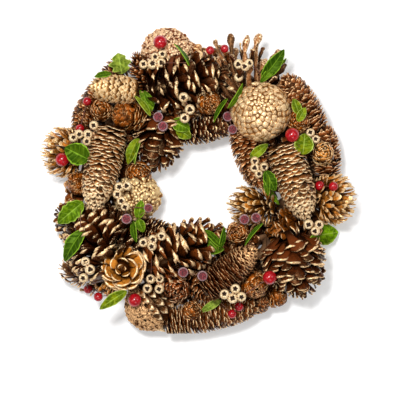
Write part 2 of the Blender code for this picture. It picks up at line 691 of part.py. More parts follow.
def stem_mesh(path):
    """A thin stem along the way: a three-sided rod, or a bent wire where the way has an arch."""
    if len(path) == 2:
        along = path[1] - path[0]
        bm = bmesh.new()
        bmesh.ops.create_cone(bm, cap_ends=True, segments=3, radius1=STEM_RADIUS, radius2=STEM_RADIUS,
                              depth=along.length)
        bm.transform(aim((path[0] + path[1]) / 2, path[1] + along, 0.0))
        return mesh_from(bm, "stem")
    curve = bpy.data.curves.new("stem", "CURVE")
    curve.dimensions = "3D"
    curve.bevel_depth = STEM_RADIUS
    curve.bevel_resolution = 0
    curve.use_fill_caps = True
    spline = curve.splines.new("POLY")
    spline.points.add(len(path) - 1)
    for point, place in zip(spline.points, path):
        point.co = (*place, 1.0)
    wire = bpy.data.objects.new("stem", curve)
    bpy.context.scene.collection.objects.link(wire)
    mesh = evaluated_mesh(wire)
    bpy.data.objects.remove(wire, do_unlink=True)
    bm = bmesh.new()
    bm.from_mesh(mesh)
    bmesh.ops.remove_doubles(bm, verts=bm.verts, dist=WELD)
    return mesh_from(bm, "stem")


def level_bunches(entries, lifts):
    """Pods that stand side by side share the height of the highest, so that they grow together."""
    bunch = []
    for index, entry in enumerate([*entries, None]):
        joins = entry is not None and entry[0] == "pod"
        if joins and bunch:
            last = entries[bunch[-1]]
            joins = math.dist(entry[1:3], last[1:3]) < BUNCH_REACH
        if not joins and bunch:
            top = max(lifts[member] for member in bunch)
            for member in bunch:
                lifts[member] = top
            bunch = []
        if entry is not None and entry[0] == "pod":
            bunch.append(index)


def make_picks(group):
    """Each pick: its items settle on what lies under them, and stems join them into one piece."""
    obstacles = [tree_of(item.data) for item in group.objects]
    for name, entries in PICKS.items():
        items = [pick_item(entry) for entry in entries]
        lifts = [settle(mesh, obstacles) for mesh, _ in items]
        level_bunches(entries, lifts)
        parts, joints = [], []
        for (mesh, joint), lift in zip(items, lifts):
            raised = Vector((0.0, 0.0, lift))
            mesh.transform(Matrix.Translation(raised))
            joint = joint + raised
            tree = tree_of(mesh)
            if joints and not any(tree.overlap(tree_of(part)) for part in parts):
                ways = [stem_path(other, joint, obstacles) for other in joints]
                parts.append(stem_mesh(min(ways, key=path_cost)))
            parts.append(mesh)
            joints.append(joint)
        item = add_object(name, parts[0], group)
        others = [bpy.data.objects.new("part", part) for part in parts[1:]]
        mesh, bodies = largest_body(combine(item, others, "UNION"))
        if bodies != 1:
            raise ValueError(name + " is not one body")
        item.data = mesh
        mesh.materials.clear()
        mesh.materials.append(finish("leaf"))
        shade_round(mesh)
        obstacles.append(tree_of(mesh))


def main():
    """Build the wreath."""
    clear_scene()
    group = new_collection("pinecone_wreath")
    add_object("vine_ring", ring_mesh("vine_ring"), group, "vine")
    make_cones(group)
    make_picks(group)


main()
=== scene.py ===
"""The looks of the pinecone wreath: its cones scale by scale, its picks and its vine ring.

Metres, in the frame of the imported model: the wreath lies on its back and faces +Z.
"""
import math

import bpy
import numpy as np
from mathutils import Matrix, Vector
from mathutils.bvhtree import BVHTree


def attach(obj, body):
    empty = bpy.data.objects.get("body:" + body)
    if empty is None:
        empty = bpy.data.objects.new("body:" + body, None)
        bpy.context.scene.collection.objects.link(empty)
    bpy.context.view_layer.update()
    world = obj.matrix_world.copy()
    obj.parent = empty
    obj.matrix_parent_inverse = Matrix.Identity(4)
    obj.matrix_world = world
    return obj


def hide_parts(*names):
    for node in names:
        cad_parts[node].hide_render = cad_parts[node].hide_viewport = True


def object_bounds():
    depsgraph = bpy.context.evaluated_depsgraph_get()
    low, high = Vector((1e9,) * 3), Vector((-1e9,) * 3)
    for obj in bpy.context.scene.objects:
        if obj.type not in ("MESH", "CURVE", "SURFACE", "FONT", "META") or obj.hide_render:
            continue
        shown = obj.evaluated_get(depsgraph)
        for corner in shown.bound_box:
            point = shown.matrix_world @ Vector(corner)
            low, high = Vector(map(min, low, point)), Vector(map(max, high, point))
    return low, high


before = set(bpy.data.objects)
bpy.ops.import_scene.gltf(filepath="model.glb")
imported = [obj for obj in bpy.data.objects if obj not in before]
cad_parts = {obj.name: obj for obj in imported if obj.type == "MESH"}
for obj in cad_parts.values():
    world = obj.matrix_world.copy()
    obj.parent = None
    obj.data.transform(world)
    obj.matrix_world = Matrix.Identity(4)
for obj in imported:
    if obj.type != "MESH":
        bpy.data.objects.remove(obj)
CAD_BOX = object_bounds()

MM = 0.001

# The layout is written in pixels of a 400 by 400 picture of the wreath seen from above
WREATH_WIDTH = 360 * MM
LAYOUT_WIDTH = 319
LAYOUT_CENTRE = (198.5, 180.6)
PIXEL = WREATH_WIDTH / LAYOUT_WIDTH
IMAGE_SIZE = 400

GOLDEN_ANGLE = math.pi * (3 - math.sqrt(5))
ROW_DRIFT = 0.08
ROW_SPREAD = 0.22
CONE_TURN = math.radians(77)
FLOOR_GAP = 2.5 * MM

# Camera and stage
CAMERA_HEIGHT = 3.0
FOCUS_HEIGHT = 45 * MM
SENSOR = 36.0
FLOOR_SIZE = 6.0

# Vine ring
RING_MID_RADIUS = 113 * MM
RING_HALF_WIDTH = 26 * MM
RING_HEIGHT = 22 * MM
VINES = 9
VINE_RADIUS = 4.4 * MM
VINE_TWISTS = 5
VINE_STEPS = 220
VINE_SIDES = 8
CHIPS = 1500
CHIP_LENGTH = (9 * MM, 17 * MM)
# Where a loose scale stands on the ring, as its angle in the ring's section: anywhere but at the edges,
# or at a side for one that reaches out
CHIP_EDGE = 0.1
CHIP_SIDE = (0.15, 0.6)
# How steeply a loose scale rises and how it is stretched: one that lies on the ring, one that reaches out
CHIP_RISES = ((0.2, 0.9), (0.9, 2.0))
CHIP_STRETCHES = (1.0, 1.5)
CHIP_HALF_WIDTH = 0.30
CHIP_HALF_THICKNESS = 0.05

# Name, kind, finish, base (x, y in pixels, z in mm), tip (the same) and radius in mm
CONES = [
    ("spruce_right", "spruce", "gold", (281, 141, 60), (307, 221, 60), 22),
    ("spruce_left", "spruce_tight", "gold", (113, 124, 58), (93, 211, 66), 21.5),
    ("spruce_gold_upper_left", "spruce_closed", "pale", (138, 92, 62), (89, 87, 60), 16.5),
    ("spruce_lower_right", "spruce_lined", "umber", (203, 293, 60), (257, 247, 66), 19),
    ("disc_gold", "disc", "cream", (261, 112, 50), (260, 112, 80), 34),
    ("rosette_lower_left", "rosette", "amber", (124, 268, 44), (122, 266, 82), 27),
    ("small_upper_left_brown", "small", "amber_dark", (143, 119, 44), (113, 112, 60), 17),
    ("small_top_gold_tip", "small", "orange", (205, 97, 30), (212, 107, 62), 14),
    ("pine_top", "pine_wide", "dark", (148, 93, 44), (232, 66, 46), 34),
    ("pine_bottom", "pine_wide", "chestnut", (144, 268, 42), (228, 227, 44), 33),
    ("pine_lower_left", "pine", "dark", (121, 269, 48), (75, 206, 44), 45),
    ("pine_lower_right", "open", "bronze", (287, 239, 42), (305.5, 299, 42), 38),
    ("round_lower_right", "small", "orange", (249, 278, 18), (257, 289, 60), 16),
    ("small_inner_right", "small", "orange", (238, 233, 30), (237, 232, 58), 13),
    ("rosette_upper_left", "small", "orange", (104, 111, 32), (99, 109, 58), 13),
    ("small_right", "small", "orange", (298, 123, 30), (299, 120, 62), 14),
    ("small_tan_right", "small", "straw", (322, 158, 34), (323, 149, 60), 13),
    ("spiky_upper_left", "spiky", "brown", (154, 104, 42), (134, 50, 38), 16),
    ("fan_top", "fan_long", "dark", (246, 108, 36), (253, 40, 42), 33),
    ("pine_inner_top_left", "open", "bronze", (162, 114, 38), (156, 173, 36), 31),
    ("spruce_inner_right", "spruce_open", "brown", (241.5, 120, 36), (262, 190, 32), 21.5),
    ("spruce_inner_top", "spruce_open", "dark", (180, 134, 34), (240, 120.5, 34), 17.5),
    ("spruce_right_rim", "spruce_open", "brown", (329, 178, 26), (322, 120, 28), 18.5),
    ("spruce_upper_right", "spruce_open", "brown", (318, 133, 36), (283.5, 72.5, 38), 20.5),
    ("spruce_left_rim", "spruce_open", "umber_rim", (123.5, 59.5, 28), (71.5, 130, 28), 17),
    ("dome_gold_top", "dome", "pink", (167, 53, 26), (167, 50, 54), 30),
    ("dome_gold_left", "dome", "nubs", (137, 196, 28), (139, 197, 56), 26),
    ("dome_gold_bottom", "dome", "husk", (149.5, 306.5, 20), (149, 309, 48), 29.5),
    ("rosette_left", "small", "orange", (88, 182, 11), (73, 184, 52), 14),
    ("rosette_inner_left", "small", "orange", (136, 172, 24), (141, 175, 50), 15),
    ("dark_bottom", "small", "speck", (176, 285, 28), (175, 292, 56), 17),
    ("fan_left", "fan", "straw", (82, 153, 32), (39, 151, 32), 29),
    ("fan_right", "fan", "straw", (314, 201, 32), (358, 196, 32), 30),
    ("fan_inner_right", "fan", "straw", (276, 208, 32), (226, 203, 32), 24),
    ("pine_right", "shaggy", "rust", (306, 221, 32), (266, 236, 32), 24),
    ("spruce_bottom_rim", "spruce_lined", "lined", (160, 325, 26), (263, 306, 28), 19.5),
    ("spruce_bottom", "spruce_open", "brown", (180, 276, 28), (224, 302, 28), 16),
    ("spruce_inner_bottom", "spruce_open", "dark", (141, 226, 30), (186, 244, 30), 16),
    ("spiky_lower_left", "fan", "tan", (88, 279, 26), (59, 262, 26), 17),
    ("small_lower_left", "small", "straw", (118, 288, 26), (94, 279, 30), 13.5),
    ("small_bottom", "small", "orange", (191, 318, 24), (192, 307, 50), 12),
    ("small_lower_right", "small", "brown", (252, 308, 20), (268, 300, 30), 12),
]

# Loose scales between the cones and one small cone at the rim, written like a cone
LOOSE = [
    ("loose_inner_left", "small", "dark", (136, 134, 10), (148, 127, 20), 15),
    ("loose_left", "pine", "dark", (83, 238, 20), (61, 199, 22), 25),
    ("loose_rim", "fan", "tan", (100, 291, 7), (76, 276, 7), 14),
    ("loose_lower_left", "fan", "tan", (112, 288, 11), (84, 286, 10), 14),
    ("loose_corner", "fan", "tan", (92, 273, 14), (62, 262, 12), 15),
    ("loose_lower_right", "small", "orange", (268, 301, 20), (287, 293, 28), 12.5),
]

# Berries at the rim that no scale above this height covers: middle in pixels and the room round it in mm
CLEAR_BERRIES = ((86.7, 290.2, 5.6), (97.9, 297.3, 5.6))
CLEAR_HEIGHT = 6.5 * MM

# The fingers of the open cone at the top: root and tip (x, y in pixels, z in mm), half width in mm
FINGERS = [
    ((246, 102, 44), (226.5, 34.5, 44), 3.9), ((250, 100, 46), (247.5, 35, 46), 3.8),
    ((254, 100, 46), (260.5, 33.5, 44), 4.4), ((258, 102, 44), (278, 49, 42), 4.4),
    ((243, 104, 46), (217, 57, 50), 4.6), ((247, 102, 54), (237, 66, 60), 4.4),
    ((251, 102, 54), (250, 64, 62), 4.4), ((256, 103, 52), (266, 62, 56), 4.4),
    ((246, 102, 36), (236, 47, 28), 4.4), ((250, 102, 34), (253, 44, 26), 4.4),
    ((255, 102, 34), (267, 58, 28), 4.2), ((244, 104, 36), (220, 50, 32), 4.2),
    ((258, 103, 34), (284, 62, 34), 4.2), ((243, 106, 40), (212, 74, 42), 4.2),
    ((260, 106, 40), (288, 78, 40), 4.0), ((248, 104, 30), (244, 56, 18), 4.0),
    ((254, 104, 30), (262, 58, 18), 4.0), ((238, 80, 44), (213.5, 40.5, 46), 3.4),
]

# The gold-ended scales over the dome at the bottom: middle (pixels), reach before and after it (pixels)
# and half width in mm; all point the same way. The dome's husk shows on one side of the edge
FLAKES = [
    (142, 294, 7, 5, 3.4), (152, 294, 8, 5, 3.8), (163, 296, 8, 5, 4.0), (145, 300, 7, 5, 3.4),
    (159, 302, 9, 6, 4.4), (170, 304, 9, 5, 4.2), (150, 307, 7, 5, 3.4), (155, 311, 7, 5, 3.4),
    (164, 310, 9, 5, 4.2), (172, 313, 8, 4, 3.8), (158, 317, 7, 5, 3.2), (166, 320, 8, 5, 3.6),
    (155, 326, 13, 12, 4.2),
]
FLAKE_TURN = 38
HUSK_EDGE = ((139, 288), (165, 326))

# How the scales of each kind of cone stand. count is their number on a cone of the kind's own radius
# and length (own, in mm); lean is their angle from the axis in degrees and size their length, at the
# orders below; curl is what they bend by towards their own tip; half and thick are their half width
# and half thickness in mm; loose is how unevenly they stand, in degrees. size is a share of the radius.
# ring is their number round the cone where they stand in rows, crowd how they gather towards its tip.
KINDS = {
    "spruce": dict(form="tongue", own=(20, 95), count=250, ring=13, lean=(88, 68, 46, 2),
                   size=(0.42, 0.62, 0.68, 0.62), curl=-20, half=5.5, thick=0.42, loose=4),
    "spruce_tight": dict(form="tongue", own=(20, 95), count=305, ring=13, lean=(88, 68, 46, 2),
                         size=(0.40, 0.56, 0.60, 0.56), curl=-20, half=5.3, thick=0.40, loose=5),
    "spruce_closed": dict(form="shield", own=(20, 95), count=380, ring=18, lean=(78, 50, 36, 4),
                          size=(0.40, 0.56, 0.60, 0.50), curl=-12, half=4.3, thick=0.50, loose=3),
    "spruce_lined": dict(form="tongue", own=(19, 85), count=310, ring=13, lean=(94, 80, 66, 10),
                         size=(0.40, 0.62, 0.70, 0.56), curl=-18, half=5.2, thick=0.36, loose=4),
    "spruce_open": dict(form="tooth", own=(18, 90), count=300, ring=14, lean=(92, 78, 66, 12),
                        size=(0.40, 0.68, 0.80, 0.62), curl=-18, half=3.9, thick=0.40, loose=8),
    "small": dict(form="petal", own=(14, 30), count=112, crowd=1.7, lean=(104, 78, 52, -36),
                  size=(0.45, 0.58, 0.56, 0.50), curl=-24, half=4.2, thick=0.38, loose=8),
    "rosette": dict(form="spoon", own=(27, 38), count=42, lean=(112, 100, 84, 46),
                    size=(0.60, 0.72, 0.68, 0.44), curl=-30, half=7.3, thick=0.90, loose=11),
    "pine": dict(form="pad", own=(34, 97), count=170, ring=14, lean=(108, 88, 72, 16),
                 size=(0.60, 0.78, 0.82, 0.62), curl=-16, half=5.6, thick=1.7, loose=9),
    "pine_wide": dict(form="pad", own=(34, 97), count=118, ring=11, lean=(108, 86, 66, 16),
                      size=(0.60, 0.80, 0.84, 0.62), curl=-14, half=6.4, thick=2.3, loose=13),
    "open": dict(form="rim", own=(34, 75), count=108, lean=(102, 78, 58, 16),
                 size=(0.60, 0.80, 0.84, 0.62), curl=-20, half=6.2, thick=1.3, loose=11),
    "shaggy": dict(form="rim", own=(24, 52), count=120, lean=(102, 78, 56, 14),
                   size=(0.60, 0.76, 0.80, 0.62), curl=-12, half=4.3, thick=0.75, loose=16),
    "spiky": dict(form="spike", own=(16, 55), count=150, lean=(95, 74, 56, 12),
                  size=(0.40, 0.60, 0.66, 0.60), curl=8, half=2.4, thick=0.45, loose=9),
    "fan": dict(form="finger", own=(28, 49), count=120, lean=(112, 84, 50, 2),
                size=(0.70, 0.90, 0.95, 0.90), curl=-8, half=2.2, thick=0.65, loose=12),
    "fan_long": dict(form="finger_pad", own=(33, 77), count=26, lean=(96, 78, 46, 20),
                     size=(0.50, 0.60, 0.60, 0.55), curl=-8, half=4.0, thick=1.7, loose=8),
}
LEAN_ORDERS = (0.0, 0.08, 0.5, 1.0)
CORE_SHARE = 0.40

# A scale's form, station by station from root to tip: place, half width, half thickness, how far the
# section is from round to a rhombus, gold in the middle and gold at the two edges
FORMS = {
    "tongue": (
        (0.00, 0.50, 1.0, 0, 0.0, 0.0), (0.32, 0.90, 1.1, 0, 0.0, 0.0), (0.55, 1.02, 1.1, 0, 0.0, 0.3),
        (0.72, 0.94, 1.0, 0, 0.1, 0.7), (0.85, 0.72, 0.9, 0, 0.4, 1.0), (0.94, 0.46, 0.8, 0, 0.9, 1.0),
        (1.00, 0.16, 0.5, 0, 1.0, 1.0)),
    "shield": (
        (0.00, 0.60, 0.8, 0, 0.0, 0.0), (0.30, 0.94, 1.0, 0, 0.2, 0.0), (0.50, 1.04, 1.1, 0, 0.4, 0.3),
        (0.66, 0.88, 1.1, 0, 0.7, 0.7), (0.80, 0.60, 1.0, 0, 0.9, 1.0), (0.92, 0.32, 0.9, 0, 1.0, 1.0),
        (1.00, 0.10, 0.5, 0, 1.0, 1.0)),
    "tooth": (
        (0.00, 0.50, 1.0, 0, 0.0, 0.0), (0.35, 0.85, 1.1, 0, 0.0, 0.0), (0.60, 1.00, 1.1, 0, 0.0, 0.2),
        (0.78, 0.86, 1.0, 0, 0.15, 0.6), (0.90, 0.56, 0.9, 0, 0.6, 1.0), (0.97, 0.26, 0.7, 0, 1.0, 1.0),
        (1.00, 0.08, 0.4, 0, 1.0, 1.0)),
    "petal": (
        (0.00, 0.40, 1.0, 0, 0.0, 0.0), (0.35, 0.72, 1.0, 0, 0.0, 0.0), (0.60, 0.95, 1.0, 0, 0.0, 0.3),
        (0.78, 1.00, 1.0, 0, 0.1, 0.6), (0.90, 0.80, 1.0, 0, 0.5, 1.0), (0.97, 0.48, 0.9, 0, 1.0, 1.0),
        (1.00, 0.18, 0.5, 0, 1.0, 1.0)),
    "spoon": (
        (0.00, 0.35, 1.2, 0, 0.0, 0.0), (0.30, 0.66, 1.0, 0, 0.0, 0.0), (0.55, 0.92, 0.9, 0, 0.0, 0.0),
        (0.75, 1.04, 1.0, 0, 0.0, 0.9), (0.88, 0.98, 1.3, 0, 0.25, 1.0), (0.96, 0.76, 1.5, 0, 1.0, 1.0),
        (1.00, 0.46, 0.9, 0, 1.0, 1.0)),
    "pad": (
        (0.00, 0.40, 0.40, 0, 0.0, 0.0), (0.35, 0.66, 0.36, 0, 0.0, 0.0), (0.62, 0.90, 0.40, 0, 0.0, 0.0),
        (0.78, 1.06, 0.60, 0.3, 0.0, 0.15), (0.87, 1.10, 0.90, 0.8, 0.10, 0.6),
        (0.93, 0.88, 1.05, 1.0, 0.75, 1.0), (0.975, 0.54, 0.80, 1.0, 1.0, 1.0),
        (1.00, 0.20, 0.34, 0.8, 1.0, 1.0)),
    "rim": (
        (0.00, 0.40, 0.60, 0, 0.0, 0.0), (0.35, 0.70, 0.55, 0, 0.0, 0.0), (0.62, 0.92, 0.55, 0, 0.0, 0.0),
        (0.80, 1.04, 0.65, 0, 0.0, 0.5), (0.90, 1.00, 0.90, 0.1, 0.0, 1.0),
        (0.96, 0.84, 1.10, 0.2, 0.45, 1.0), (1.00, 0.46, 0.80, 0.2, 1.0, 1.0)),
    "spike": (
        (0.00, 0.60, 1.0, 0, 0.0, 0.0), (0.35, 0.92, 1.0, 0, 0.0, 0.1), (0.60, 1.00, 1.0, 0, 0.0, 0.2),
        (0.78, 0.70, 1.0, 0, 0.3, 0.5), (0.91, 0.36, 0.8, 0, 0.8, 0.9), (1.00, 0.08, 0.4, 0, 1.0, 1.0)),
    "flake": (
        (0.00, 0.30, 0.6, 0, 0.0, 0.0), (0.28, 0.70, 0.9, 0, 0.0, 0.3), (0.48, 0.96, 1.0, 0, 0.2, 1.0),
        (0.66, 1.00, 1.0, 0.2, 0.6, 1.0), (0.84, 0.66, 0.9, 0.3, 0.9, 1.0),
        (1.00, 0.14, 0.4, 0.3, 1.0, 1.0)),
    "finger": (
        (0.00, 0.50, 1.0, 0, 0.0, 0.0), (0.35, 0.80, 0.9, 0, 0.0, 0.2), (0.62, 1.00, 0.9, 0, 0.1, 0.5),
        (0.80, 1.15, 1.0, 0, 0.45, 0.8), (0.92, 1.05, 1.1, 0.2, 0.9, 1.0),
        (0.98, 0.66, 0.8, 0.3, 1.0, 1.0), (1.00, 0.24, 0.4, 0.3, 1.0, 1.0)),
    "finger_pad": (
        (0.00, 0.60, 0.6, 0, 0.0, 0.0), (0.20, 0.62, 0.6, 0, 0.0, 0.3), (0.35, 0.70, 0.7, 0, 0.0, 0.7),
        (0.50, 0.62, 0.8, 0, 0.1, 0.9), (0.62, 0.74, 0.8, 0.2, 0.3, 0.9),
        (0.73, 0.68, 0.9, 0.2, 0.35, 1.0), (0.83, 0.86, 1.0, 0.3, 0.4, 1.0),
        (0.91, 0.94, 1.2, 0.3, 0.6, 1.0), (0.965, 0.84, 1.1, 0.4, 0.7, 1.0),
        (1.00, 0.50, 0.7, 0.4, 0.9, 1.0)),
}
# How far the edges of each form bend towards its inner face, as a share of its half width
CUPS = {"spoon": 0.34, "petal": 0.22, "tongue": 0.16, "shield": -0.10, "tooth": 0.20, "rim": 0.24,
        "pad": 0.10, "finger": -0.25, "finger_pad": 0.0, "spike": 0.1}
SECTION_SIDES = 8

# How far a single scale bends sideways and how knobbly it is, as shares of its length and width
CROOKED = {"finger_pad": (0.055, 0.34)}
CROOKED_LITTLE = (0.02, 0.06)

# The number of pads on the gold disc and on a dome of NUBS_RADIUS, by its finish, and how much of its
# room a pad covers
DISC_PADS = 190
NUBS = {"pink": 620, "nubs": 420, "husk": 1300}
NUBS_RADIUS = 30 * MM
PAD_COVERS = {"cream": 0.64, "pink": 0.60, "nubs": 0.60, "husk": 0.72}
# How pads lie on a disc and a dome: how far down its side they go, how they grow towards its rim, how
# unevenly they face, how high they stand, how their sizes vary and how far their spiral leans to one side
PAD_SPREADS = {
    "disc": (1.9, 0.78, 0.17, 0.50, 0.12, 0.28),
    "dome": (math.pi / 2 * 1.05, 0.55, 0.45, 0.9, 0.28, 0.0),
}
DISC_TILT_AXIS = (0.0, 1.0, 0.0)

# How a cone narrows: start, span, ease and fullness of a sine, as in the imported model, and the last
# stretch in which the scales close over the tip
LONG_SHAPE = (0.20, 0.68, 0.9, 0.6)
ROUND_SHAPE = (0.24, 0.66, 0.9, 0.8)
SHORT_SHAPE = (0.22, 0.62, 1.0, 0.7)
SHAPES = {
    "spruce": LONG_SHAPE, "spruce_tight": LONG_SHAPE, "spruce_closed": LONG_SHAPE,
    "spruce_lined": LONG_SHAPE, "spruce_open": LONG_SHAPE, "spiky": LONG_SHAPE,
    "small": SHORT_SHAPE, "fan": SHORT_SHAPE, "fan_long": SHORT_SHAPE,
    "pine": ROUND_SHAPE, "pine_wide": ROUND_SHAPE, "rosette": ROUND_SHAPE, "open": ROUND_SHAPE,
    "shaggy": ROUND_SHAPE,
}
TIP_CLOSING = 0.76
FACING_UP = 0.85

# Leaf outlines: depth and number of their lobes, fold along the rib, curl and wave of the edge
LEAVES = {
    "holly": dict(lobe=0.22, lobes=6, fold=0.16, curl=0.10, wave=0.10),
    "wavy": dict(lobe=0.08, lobes=9, fold=0.16, curl=0.10, wave=0.08),
    "oval": dict(lobe=0.025, lobes=10, fold=0.14, curl=0.12, wave=0.06),
    "slim": dict(lobe=0.0, lobes=4, fold=0.06, curl=0.10, wave=0.03),
}

# The picks. A pod, red or frosted berry has its middle (x, y in pixels) and its radius in mm.
# A leaf has its outline, base and tip (pixels), width in mm, roll in degrees and tint.
PICKS = {
    "pick_top_left": [
        ("pod", 143.8, 65.2, 4.6), ("pod", 152.5, 65.0, 5.4), ("pod", 161.3, 63.6, 5.0),
        ("pod", 155.4, 57.8, 4.6), ("pod", 162.5, 55.0, 4.4), ("red", 160.4, 42.9, 7.8),
        ("leaf", "slim", (191, 66), (176, 44), 6, 55, "dark"),
        ("leaf", "holly", (122, 74), (118, 53), 22, 0, "pale"),
        ("leaf", "slim", (112, 74), (95, 77), 8, 30, "dark"),
    ],
    "pick_left": [
        ("pod", 94.7, 125.8, 4.8), ("pod", 88.5, 134.7, 5.0), ("pod", 87.4, 141.8, 4.6),
        ("pod", 79.7, 134.6, 4.8), ("pod", 74.0, 138.4, 4.6), ("red", 79.9, 128.6, 5.0),
        ("red", 87.2, 101.3, 5.0), ("leaf", "oval", (90, 160), (66, 148), 25, 0, "dark"),
        ("red", 62.9, 159.8, 7.7),
    ],
    "pick_upper_left": [
        ("frosted", 158.3, 117.6, 5.8), ("frosted", 163.3, 127.1, 5.8),
        ("leaf", "slim", (152, 116), (136, 96), 7, 30, "olive"),
        ("leaf", "slim", (151, 112), (140, 90), 8, 10, "green"),
        ("leaf", "oval", (150, 113), (147, 97), 11, 10, "green"),
        ("leaf", "slim", (154, 107), (144, 91), 8, 0, "dark"),
    ],
    "pick_top": [
        ("pod", 183.8, 98.5, 5.2), ("pod", 190.0, 110.4, 5.4), ("pod", 184.8, 119.1, 5.2),
        ("leaf", "oval", (172, 121), (190, 130), 16, 0, "green"),
        ("leaf", "oval", (176, 128), (191, 138), 15, 0, "olive"),
    ],
    "pick_top_right": [
        ("pod", 238.2, 65.2, 5.0), ("pod", 244.9, 67.8, 4.8), ("pod", 248.6, 64.4, 4.4),
        ("pod", 238.4, 77.9, 4.8), ("red", 224.5, 49.2, 4.8), ("red", 210.0, 51.2, 4.9),
        ("leaf", "oval", (262, 80), (284.5, 50.5), 16, 10, "dark"),
        ("leaf", "slim", (260, 83), (277, 64), 8, 0, "dark"),
        ("leaf", "slim", (272, 74), (288, 57), 6, 20, "green"),
    ],
    "pick_middle_top": [
        ("frosted", 228.0, 116.5, 5.7), ("frosted", 232.7, 129.5, 5.5),
        ("leaf", "slim", (229, 110), (244, 85), 7, 40, "dark"),
        ("leaf", "slim", (226, 98), (212, 122), 6, 40, "dark"),
    ],
    "pick_upper_right": [
        ("red", 291.3, 135.7, 8.0), ("leaf", "oval", (302, 155), (304, 134), 22, 0, "olive"),
        ("pod", 310.0, 133.0, 4.6), ("pod", 315.4, 139.5, 4.4),
        ("leaf", "slim", (297, 122), (305, 108), 10, 0, "olive"),
        ("leaf", "oval", (299, 115), (293, 99), 11, 0, "olive"),
    ],
    "pick_inner_right": [
        ("pod", 254.6, 161.0, 4.6), ("pod", 254.6, 168.0, 5.0), ("pod", 263.9, 166.9, 4.8),
        ("pod", 258.6, 174.0, 4.4), ("leaf", "oval", (250, 158), (268, 144), 11, 0, "olive"),
        ("leaf", "wavy", (265, 171), (275, 191), 14, 0, "dark"),
        ("leaf", "slim", (266, 174), (267, 196), 8, 20, "dark"),
        ("leaf", "slim", (268, 188), (279, 205), 6, 10, "green"),
    ],
    "pick_right": [
        ("red", 319.5, 185.8, 5.5), ("red", 332.8, 186.5, 5.3),
    ],
    "pick_lower_right": [
        ("pod", 307.7, 224.0, 5.2), ("pod", 318.0, 224.5, 4.8), ("pod", 314.4, 230.8, 4.8),
        ("leaf", "oval", (315, 236.5), (340, 232.5), 25, 0, "bright"),
        ("leaf", "slim", (318, 234), (309, 246), 10, 0, "green"),
    ],
    "pick_inner_bottom_right": [
        ("frosted", 244.2, 219.2, 5.8), ("frosted", 255.7, 218.0, 5.8),
        ("leaf", "slim", (261, 222), (243, 244), 5, 40, "dark"),
        ("leaf", "slim", (222, 246), (203, 228), 9, 30, "dark"),
        ("leaf", "oval", (218, 250), (208, 239), 12, 0, "green"),
        ("leaf", "slim", (220, 250), (225, 227), 7, 30, "dark"),
        ("leaf", "slim", (224, 248), (210, 254), 6, 20, "green"),
    ],
    "pick_bottom_right": [
        ("pod", 224.4, 293.4, 5.2), ("pod", 232.2, 297.2, 5.4), ("pod", 235.0, 287.9, 5.2),
        ("pod", 241.0, 295.7, 5.0), ("red", 239.0, 306.8, 5.1), ("red", 232.0, 313.9, 5.1),
        ("leaf", "slim", (221, 300), (200, 312), 9, 10, "pale"), ("red", 269.0, 276.9, 7.8),
    ],
    "pick_bottom": [
        ("pod", 143.6, 242.2, 4.8), ("pod", 153.1, 239.0, 4.8), ("pod", 152.5, 245.6, 5.0),
        ("pod", 162.0, 235.8, 4.8), ("pod", 150.9, 278.8, 5.0), ("pod", 159.7, 278.8, 4.8),
        ("pod", 147.7, 288.2, 5.0), ("pod", 159.5, 288.6, 5.0), ("frosted", 183.2, 271.7, 5.8),
        ("frosted", 202.2, 275.0, 5.8),
    ],
    "pick_bottom_left": [
        ("pod", 86.7, 260.7, 4.8), ("pod", 91.2, 268.8, 5.4), ("pod", 84.9, 277.0, 4.8),
        ("red", 86.7, 290.2, 5.1), ("red", 97.9, 297.3, 5.2),
        ("leaf", "oval", (127, 290), (100, 308), 13, 10, "olive"), ("red", 134.9, 300.0, 7.6),
    ],
    "pick_lower_left": [
        ("leaf", "wavy", (84, 202), (59, 223), 21, 0, "green"),
        ("leaf", "oval", (84, 229), (65, 260), 18, 20, "dark"),
    ],
    "pick_inner_left": [
        ("leaf", "oval", (138, 138), (127, 164), 13, 20, "olive"),
        ("leaf", "slim", (139, 141), (133, 164), 6, 50, "green"),
    ],
    "pick_inner_bottom_left": [
        ("frosted", 127.6, 218.7, 5.8), ("pod", 125.9, 206.7, 4.8), ("pod", 121.9, 200.9, 4.8),
        ("pod", 117.9, 194.2, 4.8), ("pod", 120.0, 187.0, 5.0), ("pod", 127.7, 186.0, 4.8),
        ("frosted", 148.5, 208.0, 5.2), ("leaf", "oval", (138, 219), (142, 200), 12, 0, "green"),
        ("leaf", "oval", (138, 219), (144, 232), 11, 0, "green"),
        ("leaf", "slim", (133, 221), (136, 242), 8, 30, "dark"),
    ],
}

